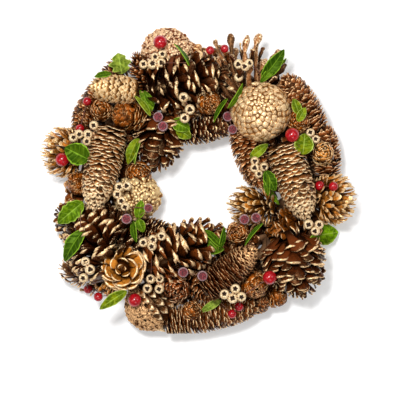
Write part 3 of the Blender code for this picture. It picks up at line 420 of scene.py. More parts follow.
# Colours of a cone's finish: dark, the painted shade in the gaps between its scales, brown, lit inner face,
# and gold with its darker shade; cover is how far the gold reaches down the scales, crown how much more of it
# the tip of the cone has, root where the painted shade of the gaps begins, vary and patch how unevenly the
# gold lies, and foot how much lighter the wood is near the cone's base, as painted light
FINISHES = {
    "brown": dict(dark=(0.010, 0.002, 0.001), wood=(0.150, 0.040, 0.008), inner=(0.26, 0.074, 0.010),
                  gold=(0.88, 0.56, 0.29), shade=(0.36, 0.130, 0.036), cover=0.41, crown=0.10, vary=0.3,
                  patch=0.5),
    "umber": dict(dark=(0.006, 0.001, 0.000), wood=(0.058, 0.012, 0.002), inner=(0.10, 0.024, 0.003),
                  gold=(0.76, 0.46, 0.22), shade=(0.24, 0.075, 0.014), cover=0.18, crown=0.62),
    "umber_rim": dict(dark=(0.010, 0.002, 0.001), wood=(0.130, 0.034, 0.006), inner=(0.22, 0.060, 0.008),
                      gold=(0.82, 0.50, 0.25), shade=(0.34, 0.120, 0.030), cover=0.34, crown=0.10,
                      vary=0.3, patch=0.5),
    "dark": dict(dark=(0.011, 0.003, 0.001), wood=(0.046, 0.010, 0.002), inner=(0.20, 0.052, 0.006),
                 gold=(0.97, 0.71, 0.40), shade=(0.48, 0.23, 0.06), cover=0.32, vary=0.6, patch=1.4),
    "speck": dict(dark=(0.012, 0.002, 0.001), wood=(0.150, 0.034, 0.006), inner=(0.22, 0.055, 0.008),
                  gold=(0.86, 0.58, 0.34), shade=(0.34, 0.11, 0.030), cover=0.16, crown=0.15, vary=0.5),
    "bronze": dict(dark=(0.012, 0.003, 0.001), wood=(0.046, 0.010, 0.002), inner=(0.12, 0.030, 0.003),
                   gold=(0.97, 0.71, 0.40), shade=(0.48, 0.22, 0.06), cover=0.42, vary=0.5, patch=1.0,
                   foot=0.65),
    "chestnut": dict(dark=(0.020, 0.005, 0.001), wood=(0.082, 0.019, 0.003), inner=(0.20, 0.052, 0.006),
                     gold=(0.97, 0.71, 0.40), shade=(0.48, 0.22, 0.06), cover=0.44, vary=0.5, patch=1.0,
                     foot=0.8),
    "orange": dict(dark=(0.048, 0.011, 0.001), wood=(0.180, 0.043, 0.003), inner=(0.26, 0.072, 0.006),
                   gold=(0.84, 0.54, 0.26), shade=(0.34, 0.12, 0.020), cover=0.24, crown=0.12, root=0.42,
                   vary=0.5, patch=0.6),
    "rust": dict(dark=(0.010, 0.002, 0.001), wood=(0.150, 0.040, 0.004), inner=(0.22, 0.064, 0.006),
                 gold=(0.95, 0.74, 0.44), shade=(0.46, 0.20, 0.05), cover=0.26, root=0.34, vary=0.6),
    "gold": dict(dark=(0.010, 0.003, 0.001), wood=(0.190, 0.060, 0.012), inner=(0.34, 0.125, 0.020),
                 gold=(1.0, 0.77, 0.46), shade=(0.38, 0.165, 0.045), cover=0.43, crown=0.45, root=0.06),
    "straw": dict(dark=(0.030, 0.008, 0.001), wood=(0.340, 0.120, 0.016), inner=(0.46, 0.18, 0.026),
                  gold=(0.91, 0.66, 0.36), shade=(0.50, 0.24, 0.06), cover=0.42, crown=0.10),
    "amber": dict(dark=(0.035, 0.008, 0.001), wood=(0.220, 0.060, 0.006), inner=(0.76, 0.29, 0.034),
                  gold=(0.97, 0.72, 0.42), shade=(0.62, 0.31, 0.09), cover=0.52, root=0.36),
    "cream": dict(dark=(0.230, 0.095, 0.025), wood=(0.46, 0.23, 0.080), inner=(0.36, 0.16, 0.045),
                  gold=(0.90, 0.66, 0.38), shade=(0.44, 0.20, 0.050), cover=0.42),
    "pale": dict(dark=(0.095, 0.034, 0.009), wood=(0.36, 0.170, 0.050), inner=(0.36, 0.16, 0.045),
                 gold=(0.84, 0.61, 0.33), shade=(0.46, 0.235, 0.075), cover=0.50, root=0.30),
    "lined": dict(dark=(0.006, 0.001, 0.000), wood=(0.105, 0.026, 0.004), inner=(0.16, 0.040, 0.005),
                  gold=(0.94, 0.68, 0.38), shade=(0.38, 0.14, 0.032), cover=0.28, vary=0.5, patch=0.5),
    "tan": dict(dark=(0.040, 0.010, 0.003), wood=(0.240, 0.098, 0.034), inner=(0.28, 0.12, 0.05),
                gold=(0.90, 0.67, 0.42), shade=(0.42, 0.21, 0.08), cover=0.44, vary=0.6, patch=1.4),
    "bark": dict(dark=(0.040, 0.010, 0.003), wood=(0.190, 0.076, 0.026), inner=(0.24, 0.10, 0.04),
                 gold=(0.86, 0.63, 0.39), shade=(0.34, 0.165, 0.06), cover=0.26, vary=0.5, patch=2.4),
    "amber_dark": dict(dark=(0.040, 0.009, 0.001), wood=(0.150, 0.036, 0.003), inner=(0.24, 0.066, 0.005),
                       gold=(0.80, 0.50, 0.22), shade=(0.32, 0.110, 0.018), cover=0.22, root=0.40,
                       vary=0.5, patch=0.5),
    "pink": dict(dark=(0.150, 0.038, 0.014), wood=(0.34, 0.120, 0.045), inner=(0.30, 0.12, 0.04),
                 gold=(0.86, 0.63, 0.39), shade=(0.46, 0.20, 0.08), cover=0.48),
    "nubs": dict(dark=(0.150, 0.055, 0.014), wood=(0.42, 0.20, 0.060), inner=(0.30, 0.12, 0.04),
                 gold=(0.93, 0.71, 0.38), shade=(0.52, 0.30, 0.10), cover=0.66),
    "husk": dict(dark=(0.040, 0.010, 0.003), wood=(0.32, 0.140, 0.040), inner=(0.30, 0.12, 0.04),
                 gold=(0.74, 0.46, 0.23), shade=(0.34, 0.15, 0.050), cover=0.52),
}

# The profiles of a pod and of the berries, from foot to end: reach and height as shares of the radius,
# and how deep the star in the mouth is; then how far each row has the colour of the mouth, core or end
POD_ROWS = (
    (0.03, -1.05, 0), (0.55, -0.95, 0), (0.92, -0.55, 0), (1.08, -0.10, 0), (1.06, 0.25, 0), (0.96, 0.52, 0),
    (0.82, 0.70, 0), (0.66, 0.76, 0.06), (0.50, 0.72, 0.22), (0.40, 0.58, 0.36), (0.33, 0.30, 0.42),
    (0.03, 0.12, 0))
POD_MOUTH = (0, 0, 0, 0, 0, 0, 0, 0.0, 0.45, 1, 1, 1)
FROSTED_ROWS = (
    (0.03, -1.0, 0), (0.60, -0.80, 0), (0.92, -0.38, 0), (1.0, 0.05, 0), (0.98, 0.34, 0), (0.92, 0.54, 0),
    (0.83, 0.64, 0), (0.75, 0.60, 0), (0.68, 0.52, 0), (0.36, 0.58, 0), (0.03, 0.62, 0))
FROSTED_CORE = (0, 0, 0, 0, 0, 0, 0.15, 0.8, 1, 1, 1)
RED_ROWS = tuple((math.sin(turn), -math.cos(turn), 0) for turn in np.linspace(0.04, math.pi - 0.25, 13)) + (
    (0.14, 0.93, 0.0), (0.02, 0.90, 0))
RED_END = (0,) * 12 + (0.6, 1, 1)

# How far below the middle of a pod or berry its stem ends, and how a leaf's width swells and fades
JOINT_DEPTH = {"pod": 0.6, "red": 0.3, "frosted": 0.3}
LEAF_EASE = 0.85
LEAF_FULLNESS = 0.7
PICK_SLOTS = {"leaf": "leaf", "red": "red_berry", "frosted": "frosted_berry", "pod": "pod", "stem": "stem"}
TILTS = {"pod": (0, 18), "red": (95, 130), "frosted": (0, 10)}
LEAF_GREENS = {
    "dark": (0.008, 0.032, 0.001), "green": (0.085, 0.160, 0.002), "olive": (0.150, 0.170, 0.002),
    "pale": (0.230, 0.280, 0.040), "bright": (0.190, 0.370, 0.003),
}
LEAF_LIGHT = (0.20, 0.30, 0.004)
LEAF_SHADOW = (0.014, 0.045, 0.001)
LEAF_LINES = ((0.24, 0.42, 0.025), (0.42, 0.52, 0.10))
LEAF_THICKNESS = 0.9 * MM
LEAF_STATIONS = 29
LEAF_COLUMNS = 13
VEINS = 6
STEM_THICKNESS = 0.9 * MM
STEM_SHARE = 0.10
ROUTE_POINTS = 11
STEM_LIFT = 12 * MM
BERRY_SIDES = 24
COLUMN_SHARES = (0.35, 0.5, 0.65)
BERRY_RISE = {"red": 1.0, "frosted": 0.65, "pod": 0.1}
ABOVE = 1.0

# The other colours of the picks, and the vine's bark: the darker and the lighter, or a single one
RED_SKIN = ((0.240, 0.002, 0.005), (0.420, 0.004, 0.010))
RED_DRY_END = (0.03, 0.012, 0.008)
FROSTED_RIM_COLOURS = ((0.16, 0.045, 0.055), (0.50, 0.36, 0.36))
FROSTED_CORE_COLOURS = ((0.060, 0.002, 0.005), (0.320, 0.034, 0.045))
POD_SHELL = ((0.50, 0.30, 0.12), (0.90, 0.73, 0.46))
POD_STAIN = (0.40, 0.22, 0.08)
# The inside of a pod's mouth: its own dark unpainted inside, made near black as painted shade of the hollow
POD_INSIDE = (0.030, 0.010, 0.004)
STEM_COLOURS = ((0.10, 0.015, 0.012), (0.16, 0.07, 0.03))
VINE_BARK = ((0.045, 0.016, 0.005), (0.22, 0.10, 0.035))

# Name, place, size and power of each soft light
LIGHTS = [
    ("key", (-0.28, 0.40, 1.75), 0.30, 30),
    ("left", (-1.15, -0.25, 1.30), 0.6, 4.5),
    ("right", (1.15, 0.30, 1.30), 0.6, 4.5),
    ("front", (0.30, -1.15, 1.30), 0.6, 4.5),
    ("back", (0.35, 1.15, 1.30), 0.6, 4.5),
]
WORLD_LIGHT = 0.20
FLOOR_GREY = 0.80
FLOOR_GLOW = 0.26
FLOOR_HEIGHT = -0.001

# How deep in a neighbour's room a scale's tip is buried, its tip if its middle is in too, a pad or a
# loose scale
BURIED_TIP = 6 * MM
BURIED_SCALE = 1.5 * MM
BURIED_PAD = 2.5 * MM
BURIED_CHIP = 0.5 * MM
# Over a cone that faces up, the room goes between these shares of its length, out to this share of
# its radius
COVERED_SHARES = (0.45, 3.0)
COVERED_REACH = 0.88

CORE_STATIONS = 9
BODY_STATIONS = 10
BODY_SIDES = 24
BODY_REACH = 0.93
BODY_HEIGHT = 0.92
PADS_REACH = 0.94
# The rings of a pad: reach and height; then the gold on them and how deep in painted shade they lie, on a
# disc and a dome
PAD_RINGS = np.array([(0.90, -0.9), (1.02, 0.0), (0.92, 0.42), (0.60, 0.74), (0.22, 0.86)])
PAD_MARKS = {
    "disc": ((0.0, 0.2, 0.65, 1.0, 1.0), (1.0, 0.9, 0.25, 0.0, 0.0)),
    "dome": ((0.0, 0.45, 0.85, 1.0, 1.0), (1.0, 0.55, 0.05, 0.0, 0.0)),
}
CHIP_LOW = 9 * MM
CONE_SEED, FLAKE_SEED, PICK_SEED, RING_SEED, CHIP_SEED = 100, 200, 500, 7, 11


def metres(x, y, z=0.0):
    """A point from its pixels x and y in the layout and its height in millimetres."""
    return Vector(((x - LAYOUT_CENTRE[0]) * PIXEL, (LAYOUT_CENTRE[1] - y) * PIXEL, z * MM))


def make_piece(name, points, faces, material, attributes=None):
    """A smooth mesh object that rides on the wreath, with values for its material at each vertex."""
    low, high = np.array(CAD_BOX)
    points = np.clip(points, low, high)
    mesh = bpy.data.meshes.new(name)
    sizes = np.array([len(face) for face in faces])
    starts = np.concatenate([[0], np.cumsum(sizes)[:-1]])
    mesh.vertices.add(len(points))
    mesh.vertices.foreach_set("co", np.asarray(points, np.float32).ravel())
    mesh.loops.add(int(sizes.sum()))
    corners = np.concatenate([np.asarray(face) for face in faces])
    mesh.loops.foreach_set("vertex_index", corners.astype(np.int32))
    mesh.polygons.add(len(faces))
    mesh.polygons.foreach_set("loop_start", starts.astype(np.int32))
    mesh.update(calc_edges=True)
    mesh.validate()
    for key, values in (attributes or {}).items():
        layer = mesh.attributes.new(key, "FLOAT", "POINT")
        layer.data.foreach_set("value", np.asarray(values, np.float32).ravel())
    mesh.shade_smooth()
    mesh.materials.append(material)
    item = bpy.data.objects.new(name, mesh)
    bpy.context.scene.collection.objects.link(item)
    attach(item, "root")
    return item


def tube_faces(stations, sides):
    """The faces of a loft of closed rings with a cap at each end."""
    faces = []
    for ring in range(stations - 1):
        for side in range(sides):
            here = ring * sides + side
            after = ring * sides + (side + 1) % sides
            faces.append((here, here + sides, after + sides, after))
    faces.append(tuple(range(sides)))
    last = (stations - 1) * sides
    faces.append(tuple(last + side for side in reversed(range(sides))))
    return faces


def repeated(faces, size, count):
    """The faces of count copies of a mesh with size vertices."""
    return [tuple(corner + size * copy for corner in face) for copy in range(count) for face in faces]


def outline(kind, share):
    """The share of the radius that a cone's scales reach at a share of its length."""
    start, span, ease, fullness = SHAPES[kind]
    share = np.clip(share, 0.0, 1.0)
    full = np.sin(math.pi * (start + span * share ** ease)) ** fullness
    close = np.clip((share - TIP_CLOSING) / (1 - TIP_CLOSING), 0.0, 1.0)
    return full * np.sqrt(np.maximum(1 - 0.985 * close ** 2, 0.0))


def cone_frame(base, tip, turn):
    """The matrix that sets an upright cone at base with its axis towards tip."""
    quat = (tip - base).to_track_quat("Z", "Y").to_matrix().to_4x4()
    return Matrix.Translation(base) @ quat @ Matrix.Rotation(turn, 4, "Z")


def apply_matrix(matrix, points):
    """The points moved by a 4 by 4 matrix."""
    array = np.array(matrix)
    return points @ array[:3, :3].T + array[:3, 3]


class Envelope:
    """The room that a cone takes, for finding the scales of its neighbours that would lie in it."""

    def __init__(self, kind, base, tip, radius, turn):
        self.kind, self.radius, self.length = kind, radius, (tip - base).length
        self.inverse = cone_frame(base, tip, turn).inverted()
        self.faces_up = (tip - base).normalized().z > FACING_UP

    def depth(self, points):
        """How deep each point lies in the envelope, negative outside it."""
        local = apply_matrix(self.inverse, points)
        reach = np.hypot(local[:, 0], local[:, 1])
        share = local[:, 2] / self.length
        if self.kind in ("dome", "disc"):
            limit = self.radius * np.sqrt(np.clip(1 - np.clip(share, 0, 1) ** 2, 0, 1))
        else:
            limit = self.radius * outline(self.kind, share)
        depth = np.where((share > 0.0) & (share < 1.0), limit - reach, -1.0)
        if self.faces_up:
            above = (share > COVERED_SHARES[0]) & (share < COVERED_SHARES[1])
            depth = np.where(above, np.maximum(depth, COVERED_REACH * self.radius - reach), depth)
        return depth


def scale_layout(kind, length, radius, rng):
    """Where each scale of a cone has its tip and root, and how it leans and turns."""
    spec = KINDS[kind]
    own_radius, own_length = spec["own"]
    count = round(spec["count"] * radius * length / (own_radius * own_length * MM * MM))
    if "ring" in spec:
        ring = round(spec["ring"] * radius / (own_radius * MM))
        rows = round(count / ring)
        count = ring * rows
        row = np.arange(count) // ring
        turn = (np.arange(count) % ring + (0.5 + ROW_DRIFT) * row) / ring * math.tau
        order = np.clip((row + 0.5) / rows + rng.normal(0, ROW_SPREAD / rows, count), 0.0, 1.0)
    else:
        turn = np.arange(count) * GOLDEN_ANGLE
        order = 1 - (1 - (np.arange(count) + 0.5) / count) ** spec.get("crowd", 1.0)
    tips = 0.05 + 0.95 * order
    reach = radius * outline(kind, tips)
    lean = np.radians(np.interp(order, LEAN_ORDERS, spec["lean"]) + rng.normal(0, spec["loose"], count))
    mean_lean = lean + math.radians(spec["curl"]) / 2
    size = radius * np.interp(order, LEAN_ORDERS, spec["size"])
    turn = turn + np.radians(rng.normal(0, 0.5 * spec["loose"], count))
    root_reach = reach - size * np.sin(mean_lean)
    root_height = tips * length - size * np.cos(mean_lean)
    return turn, root_reach, root_height, lean, size, reach, order


def section(rhomb):
    """The corners of a section across it and off its middle, from round (0) to a rhombus (1)."""
    angles = np.arange(SECTION_SIDES) / SECTION_SIDES * math.tau
    power = 1 + rhomb[:, None]
    across = np.sign(np.cos(angles)) * np.abs(np.cos(angles)) ** power
    normal = np.sign(np.sin(angles)) * np.abs(np.sin(angles)) ** power
    return across, normal


def scale_form(form):
    """The columns of a scale's form, the corners of its sections and the gold on them."""
    place, wide, thick, rhomb, gold_middle, gold_edge = np.array(FORMS[form]).T
    across, normal = section(rhomb)
    gold = gold_middle[:, None] + (gold_edge - gold_middle)[:, None] * np.abs(across) ** 3
    return place, wide, thick, across, normal, gold


def row_each(points, values):
    """The points and values with one row for each scale or pad."""
    shape = points.shape[:3]
    values = {key: np.broadcast_to(value, shape).reshape(shape[0], -1) for key, value in values.items()}
    return points.reshape(shape[0], -1, 3), values


def scale_points(kind, layout, radius, rng):
    """The vertices of all scales of a cone, and their values for the material."""
    spec = KINDS[kind]
    place, wide, thick, across, normal, gold = scale_form(spec["form"])
    turn, root_reach, root_height, lean, size, reach, order = layout
    count = len(turn)
    theta = lean[:, None] + math.radians(spec["curl"]) * place[None, :]
    step = np.diff(place, prepend=0.0)[None, :] * size[:, None]
    path_reach = root_reach[:, None] + np.cumsum(step * np.sin(theta), 1)
    path_height = root_height[:, None] + np.cumsum(step * np.cos(theta), 1)
    girth = np.clip(reach / (0.75 * radius), 0.35, 1.15) * rng.normal(1.0, 0.02 * spec["loose"], count)
    uneven = 1 + 0.012 * spec["loose"] * rng.normal(0, 1, (count, len(place)))
    half = spec["half"] * MM * girth[:, None] * wide[None, :] * uneven
    body = spec["thick"] * MM * np.clip(girth, 0.6, 1.2)[:, None] * thick[None, :]
    side = half[:, :, None] * across[None]
    cup = CUPS[spec["form"]] * half[:, :, None] * (across[None] ** 2)
    off = body[:, :, None] * normal[None] - cup
    roll = np.radians(rng.normal(0, 1.6 * spec["loose"], count))[:, None, None] * place[None, :, None]
    side, off = side * np.cos(roll) - off * np.sin(roll), side * np.sin(roll) + off * np.cos(roll)
    side = side + 0.012 * spec["loose"] * rng.normal(0, 1, count)[:, None, None] * (
        size[:, None] * place[None] ** 2)[:, :, None]
    out = path_reach[:, :, None] + off * np.cos(theta)[:, :, None]
    up = path_height[:, :, None] - off * np.sin(theta)[:, :, None]
    cos, sin = np.cos(turn)[:, None, None], np.sin(turn)[:, None, None]
    points = np.stack([out * cos - side * sin, out * sin + side * cos, up], -1)
    # deep is how far a point lies towards its scale's root; the material turns it into painted shade in the
    # gaps
    return row_each(points, {
        "gold": gold[None], "deep": (1 - place)[None, :, None], "tone": rng.random(count)[:, None, None],
        "inner": (normal < -0.2).astype(float)[None], "order": order[:, None, None]})


def core_points(kind, length, radius):
    """The woody core that a cone's scales grow from."""
    stations = np.linspace(0.02, 0.45 if kind.startswith("fan") else 0.90, CORE_STATIONS)
    angles = np.arange(SECTION_SIDES) / SECTION_SIDES * math.tau
    reach = radius * CORE_SHARE * outline(kind, stations) * np.linspace(1.0, 0.7, CORE_STATIONS)
    points = np.stack([
        reach[:, None] * np.cos(-angles)[None], reach[:, None] * np.sin(-angles)[None],
        np.broadcast_to((stations * length)[:, None], (CORE_STATIONS, SECTION_SIDES))], -1)
    return points.reshape(-1, 3)


def with_body(points, faces, values, body, body_faces):
    """Scales or pads as one mesh with the body that carries them, painted in the dark of the gaps as painted
    shade.
    """
    offset = points.shape[0] * points.shape[1]
    faces = faces + [tuple(corner + offset for corner in face) for face in body_faces]
    # The body is fully deep, so it takes the painted shade of the gaps
    values = {key: np.concatenate([value.ravel(), np.full(len(body), 1.0 if key == "deep" else 0.0)])
              for key, value in values.items()}
    return np.concatenate([points.reshape(-1, 3), body]), faces, values


def build_cone(index, envelopes, materials):
    """One cone: its scales, less those that would lie inside a neighbour, and its core."""
    name, kind, colour, base, tip, radius = (CONES + LOOSE)[index]
    base, tip, radius = metres(*base), metres(*tip), radius * MM
    length = (tip - base).length
    rng = np.random.default_rng(CONE_SEED + index)
    layout = scale_layout(kind, length, radius, rng)
    points, values = scale_points(kind, layout, radius, rng)
    matrix = cone_frame(base, tip, index * CONE_TURN)
    points = apply_matrix(matrix, points.reshape(-1, 3)).reshape(points.shape)
    keep = visible_scales(points, index, envelopes)
    for x, y, room in CLEAR_BERRIES:
        berry = metres(x, y)
        near = np.hypot(points[..., 0] - berry.x, points[..., 1] - berry.y) < room * MM
        keep &= ~(near & (points[..., 2] > CLEAR_HEIGHT)).any(1)
    points = points[keep]
    values = {key: value[keep] for key, value in values.items()}
    stations = len(FORMS[KINDS[kind]["form"]])
    faces = repeated(tube_faces(stations, SECTION_SIDES), points.shape[1], len(points))
    core = apply_matrix(matrix, core_points(kind, length, radius))
    mesh = with_body(points, faces, values, core, tube_faces(CORE_STATIONS, SECTION_SIDES))
    finish_piece(name, *mesh, colour, materials)


def scale_between(root, tip, half, thick, form, rng):
    """One scale from root to tip, flat side up: its points, faces and values for the material."""
    bent, knobbly = CROOKED.get(form, CROOKED_LITTLE)
    along = tip - root
    place, wide, body, across, normal, gold = scale_form(form)
    bend = np.sin(place * math.pi * 1.5 + rng.uniform(0, 3)) * bent * along.length
    knob = 1 + knobbly * np.sin(place * 23 + rng.uniform(0, 6))
    side = (half * wide * knob)[:, None] * across + bend[:, None]
    off = (thick * body)[:, None] * normal
    points = np.stack([side, -off, np.broadcast_to((place * along.length)[:, None], side.shape)], -1)
    matrix = cone_frame(root, tip, 0.0)
    local_up = matrix.to_3x3().inverted() @ Vector((0.0, 0.0, 1.0))
    matrix = matrix @ Matrix.Rotation(math.atan2(local_up.x, -local_up.y), 4, "Z")
    matrix = matrix @ Matrix.Rotation(rng.normal(0, 0.25), 4, "Z")
    # Darker towards the root as painted shade, through deep
    deep = np.broadcast_to(0.7 * (1 - place)[:, None], side.shape)
    values = {"gold": gold.ravel(), "deep": deep.ravel(), "tone": rng.random(), "inner": 0.0, "order": 0.0}
    return apply_matrix(matrix, points.reshape(-1, 3)), tube_faces(len(place), SECTION_SIDES), values


class Batch:
    """Meshes of one kind that become one piece."""

    def __init__(self):
        self.points, self.faces, self.values, self.size = [], [], {}, 0

    def add(self, points, faces, values):
        """Add a mesh with its values for the material."""
        self.points.append(points)
        self.faces += [tuple(corner + self.size for corner in face) for face in faces]
        for key, value in values.items():
            self.values.setdefault(key, []).append(np.broadcast_to(value, (len(points),)))
        self.size += len(points)

    def joined(self):
        """All its meshes as one: points, faces and values."""
        values = {key: np.concatenate(value) for key, value in self.values.items()}
        return np.concatenate(self.points), self.faces, values

    def piece(self, name, material, slot, node=None):
        """Make the piece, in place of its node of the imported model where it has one."""
        if not self.points:
            return
        points, faces, values = self.joined()
        points[:, 2] = np.maximum(points[:, 2], 0.0)
        item = make_piece(name, points, faces, material, values)
        if node:
            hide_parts(node)


def build_fingers(index, materials):
    """The open cone at the top: long knobbly fingers that fan out from its stalk."""
    name = CONES[index][0]
    rng = np.random.default_rng(CONE_SEED + index)
    batch = Batch()
    for root, tip, half in FINGERS:
        batch.add(*scale_between(metres(*root), metres(*tip), half * MM, 0.55 * half * MM, "finger_pad", rng))
    finish_piece(name, *batch.joined(), "bark", materials).name = name + "_fingers"


def build_flakes(index, materials):
    """The scales with gold ends that lie over one side of the dome at the bottom."""
    name, _, _, base, tip, radius = CONES[index]
    rng = np.random.default_rng(FLAKE_SEED + index)
    middle, rise = metres(*base), (tip[2] - base[2]) * MM
    batch = Batch()

    def surface(place, lift):
        away = (Vector((place.x, place.y, 0)) - Vector((middle.x, middle.y, 0))).length / (radius * MM)
        return Vector((place.x, place.y, middle.z + rise * math.sqrt(max(0.0, 1 - away ** 2)) + lift * MM))

    for x, y, before, after, half in FLAKES:
        turn = math.radians(FLAKE_TURN + rng.normal(0, 7))
        start = surface(metres(x - before * math.cos(turn), y - before * math.sin(turn)), -1)
        end = surface(metres(x + after * math.cos(turn), y + after * math.sin(turn)), 3)
        batch.add(*scale_between(start, end, half * MM, 0.35 * half * MM, "flake", rng))
    finish_piece(name, *batch.joined(), "gold", materials).name = name + "_flakes"


def finish_piece(name, points, faces, values, colour, materials):
    """A cone's piece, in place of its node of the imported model."""
    points[:, 2] = np.maximum(points[:, 2], FLOOR_GAP)
    item = make_piece(name + "_scales", points, faces, materials[colour], values)
    if "cone_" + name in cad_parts:
        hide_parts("cone_" + name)
    return item


def visible_scales(points, index, envelopes):
    """Which scales don't lie inside an earlier cone or under the floor."""
    start = points.shape[1] // 2 // SECTION_SIDES * SECTION_SIDES
    middle = points[:, start:start + SECTION_SIDES].mean(1)
    last = points[:, -SECTION_SIDES:].mean(1)
    keep = last[:, 2] > FLOOR_GAP * 0.5
    for envelope in envelopes[:index]:
        depth = envelope.depth(last)
        keep &= ~(((depth > BURIED_SCALE) & (envelope.depth(middle) > 0.0)) | (depth > BURIED_TIP))
    return keep


def bump_points(kind, length, radius, colour, rng):
    """The pads that cover a dome or a disc, in its own frame, and their values for the material."""
    disc = kind == "disc"
    count = DISC_PADS if disc else round(NUBS[colour] * (radius / NUBS_RADIUS) ** 2)
    reach_slope, growth, rough, flat, size_spread, tilt = PAD_SPREADS[kind]
    order = (np.arange(count) + 0.5) / count
    slope = reach_slope * order ** growth
    spacing = radius * np.sqrt(
        math.tau * np.sin(slope) * reach_slope * growth * order ** (growth - 1) / count)
    turn = np.arange(count) * GOLDEN_ANGLE
    ball = np.stack([np.sin(slope) * np.cos(turn), np.sin(slope) * np.sin(turn), np.cos(slope)], -1)
    outward = np.stack([np.cos(slope) * np.cos(turn), np.cos(slope) * np.sin(turn), -np.sin(slope)], -1)
    lean = np.array(Matrix.Rotation(tilt, 3, DISC_TILT_AXIS))
    ball, outward = ball @ lean.T, outward @ lean.T
    axes = np.array([radius, radius, length])
    centre = ball * axes
    normal = ball / axes
    normal /= np.linalg.norm(normal, axis=1, keepdims=True)
    centre = centre + normal * (rng.normal(0, 0.25, count) * spacing * (0.3 if disc else 1.0))[:, None]
    normal += rng.normal(0, rough, normal.shape)
    normal /= np.linalg.norm(normal, axis=1, keepdims=True)
    outward -= (outward * normal).sum(1, keepdims=True) * normal
    outward /= np.linalg.norm(outward, axis=1, keepdims=True)
    sideways = np.cross(normal, outward)
    spacing = spacing * np.clip(rng.normal(1.0, size_spread, count), 0.6, 1.7)
    long = 1.06 if disc else rng.uniform(0.8, 1.6, count)[:, None, None]
    cover = PAD_COVERS[colour]
    across, normal_share = section(np.array([0.5 if disc else 0.0]))
    around = PAD_RINGS[:, 0][None, :, None] * spacing[:, None, None] * cover
    rise = PAD_RINGS[:, 1][None, :, None] * spacing[:, None, None] * flat * 0.6 * np.ones(SECTION_SIDES)
    along = around * across * long
    wide = around * normal_share
    points = (centre[:, None, None] + along[..., None] * outward[:, None, None]
              + wide[..., None] * sideways[:, None, None] + rise[..., None] * normal[:, None, None])
    # The lower rings of each pad are deep, painted in the shade of the gaps between the pads
    gold, deep = np.array(PAD_MARKS[kind])[:, None, :, None]
    return row_each(points, {"gold": gold, "deep": deep, "tone": rng.random(count)[:, None, None],
                             "inner": 0.0, "order": 0.0})


def build_dome(index, envelopes, materials):
    """A gold dome or disc: a body covered with pads in a spiral."""
    name, kind, colour, base, tip, radius = CONES[index]
    base, tip, radius = metres(*base), metres(*tip), radius * MM
    length = (tip - base).length
    rng = np.random.default_rng(CONE_SEED + index)
    points, values = bump_points(kind, length * PADS_REACH, radius * PADS_REACH, colour, rng)
    matrix = cone_frame(base, tip, math.pi if kind == "disc" else index * CONE_TURN)
    keep = points.mean(1)[:, 2] > -0.1 * length
    points = apply_matrix(matrix, points.reshape(-1, 3)).reshape(points.shape)
    middle = points.mean(1)
    for envelope in envelopes[:index]:
        keep &= envelope.depth(middle) < BURIED_PAD
    if colour == "husk":
        start, end = metres(*HUSK_EDGE[0]), metres(*HUSK_EDGE[1])
        keep &= ((end.x - start.x) * (middle[:, 1] - start.y) < (end.y - start.y) * (middle[:, 0] - start.x))
    points = points[keep]
    values = {key: value[keep] for key, value in values.items()}
    pad = [face[::-1] for face in tube_faces(len(PAD_RINGS), SECTION_SIDES)]
    slopes = np.linspace(0.02, math.pi / 2, BODY_STATIONS)
    angles = np.arange(BODY_SIDES) / BODY_SIDES * math.tau
    body = np.stack([
        radius * BODY_REACH * np.sin(slopes)[:, None] * np.cos(-angles)[None],
        radius * BODY_REACH * np.sin(slopes)[:, None] * np.sin(-angles)[None],
        np.broadcast_to(length * BODY_HEIGHT * np.cos(slopes)[:, None], (BODY_STATIONS, BODY_SIDES))],
        -1)[::-1].reshape(-1, 3)
    mesh = with_body(points, repeated(pad, points.shape[1], len(points)), values,
                     apply_matrix(matrix, body), tube_faces(BODY_STATIONS, BODY_SIDES))
    finish_piece(name, *mesh, colour, materials)


def set_inputs(node, inputs):
    """Set a node's inputs to values, or link them to sockets."""
    for key, value in inputs.items():
        if isinstance(value, bpy.types.NodeSocket):
            node.id_data.links.new(value, node.inputs[key])
        else:
            node.inputs[key].default_value = value


def new_material(name):
    """A material with its Principled shader and a function that adds nodes to it."""
    material = bpy.data.materials.new(name)
    material.use_nodes = True
    tree = material.node_tree

    def add(kind, inputs=None, **settings):
        node = tree.nodes.new(kind)
        for key, value in settings.items():
            setattr(node, key, value)
        set_inputs(node, inputs or {})
        return node

    return material, tree.nodes["Principled BSDF"], add


def attribute(add, name):
    """The value that a vertex attribute holds."""
    return add("ShaderNodeAttribute", attribute_name=name).outputs["Fac"]


def ramp(add, value, low, high, out_low=0.0, out_high=1.0):
    """A smooth ramp of a value."""
    node = add("ShaderNodeMapRange", {0: value, 1: low, 2: high, 3: out_low, 4: out_high},
               interpolation_type="SMOOTHSTEP")
    return node.outputs[0]


def mixed(add, factor, first, second):
    """A mix of two colours."""
    node = add("ShaderNodeMix", data_type="RGBA")
    colours = [(*value, 1.0) if isinstance(value, (tuple, list)) else value for value in (first, second)]
    set_inputs(node, {0: factor, 6: colours[0], 7: colours[1]})
    return node.outputs[2]


def combine(add, operation, first, second):
    """The sum, product or other result of two values."""
    return add("ShaderNodeMath", {0: first, 1: second}, operation=operation).outputs[0]


def plus(add, first, second):
    """The sum of two values."""
    return combine(add, "ADD", first, second)


def minus(add, first, second):
    """The difference of two values."""
    return combine(add, "SUBTRACT", first, second)


def times(add, first, second):
    """The product of two values."""
    return combine(add, "MULTIPLY", first, second)


def bump(add, strength, distance, height):
    """A fine relief for a shader's normal."""
    return add("ShaderNodeBump", {"Strength": strength, "Distance": distance, "Height": height}).outputs[0]


def noise(add, scale, detail=3.0, rough=0.6):
    """A noise value in the object's own space."""
    place = add("ShaderNodeTexCoord").outputs["Object"]
    return add("ShaderNodeTexNoise", {"Vector": place, "Scale": scale, "Detail": detail, "Roughness": rough}
               ).outputs["Fac"]


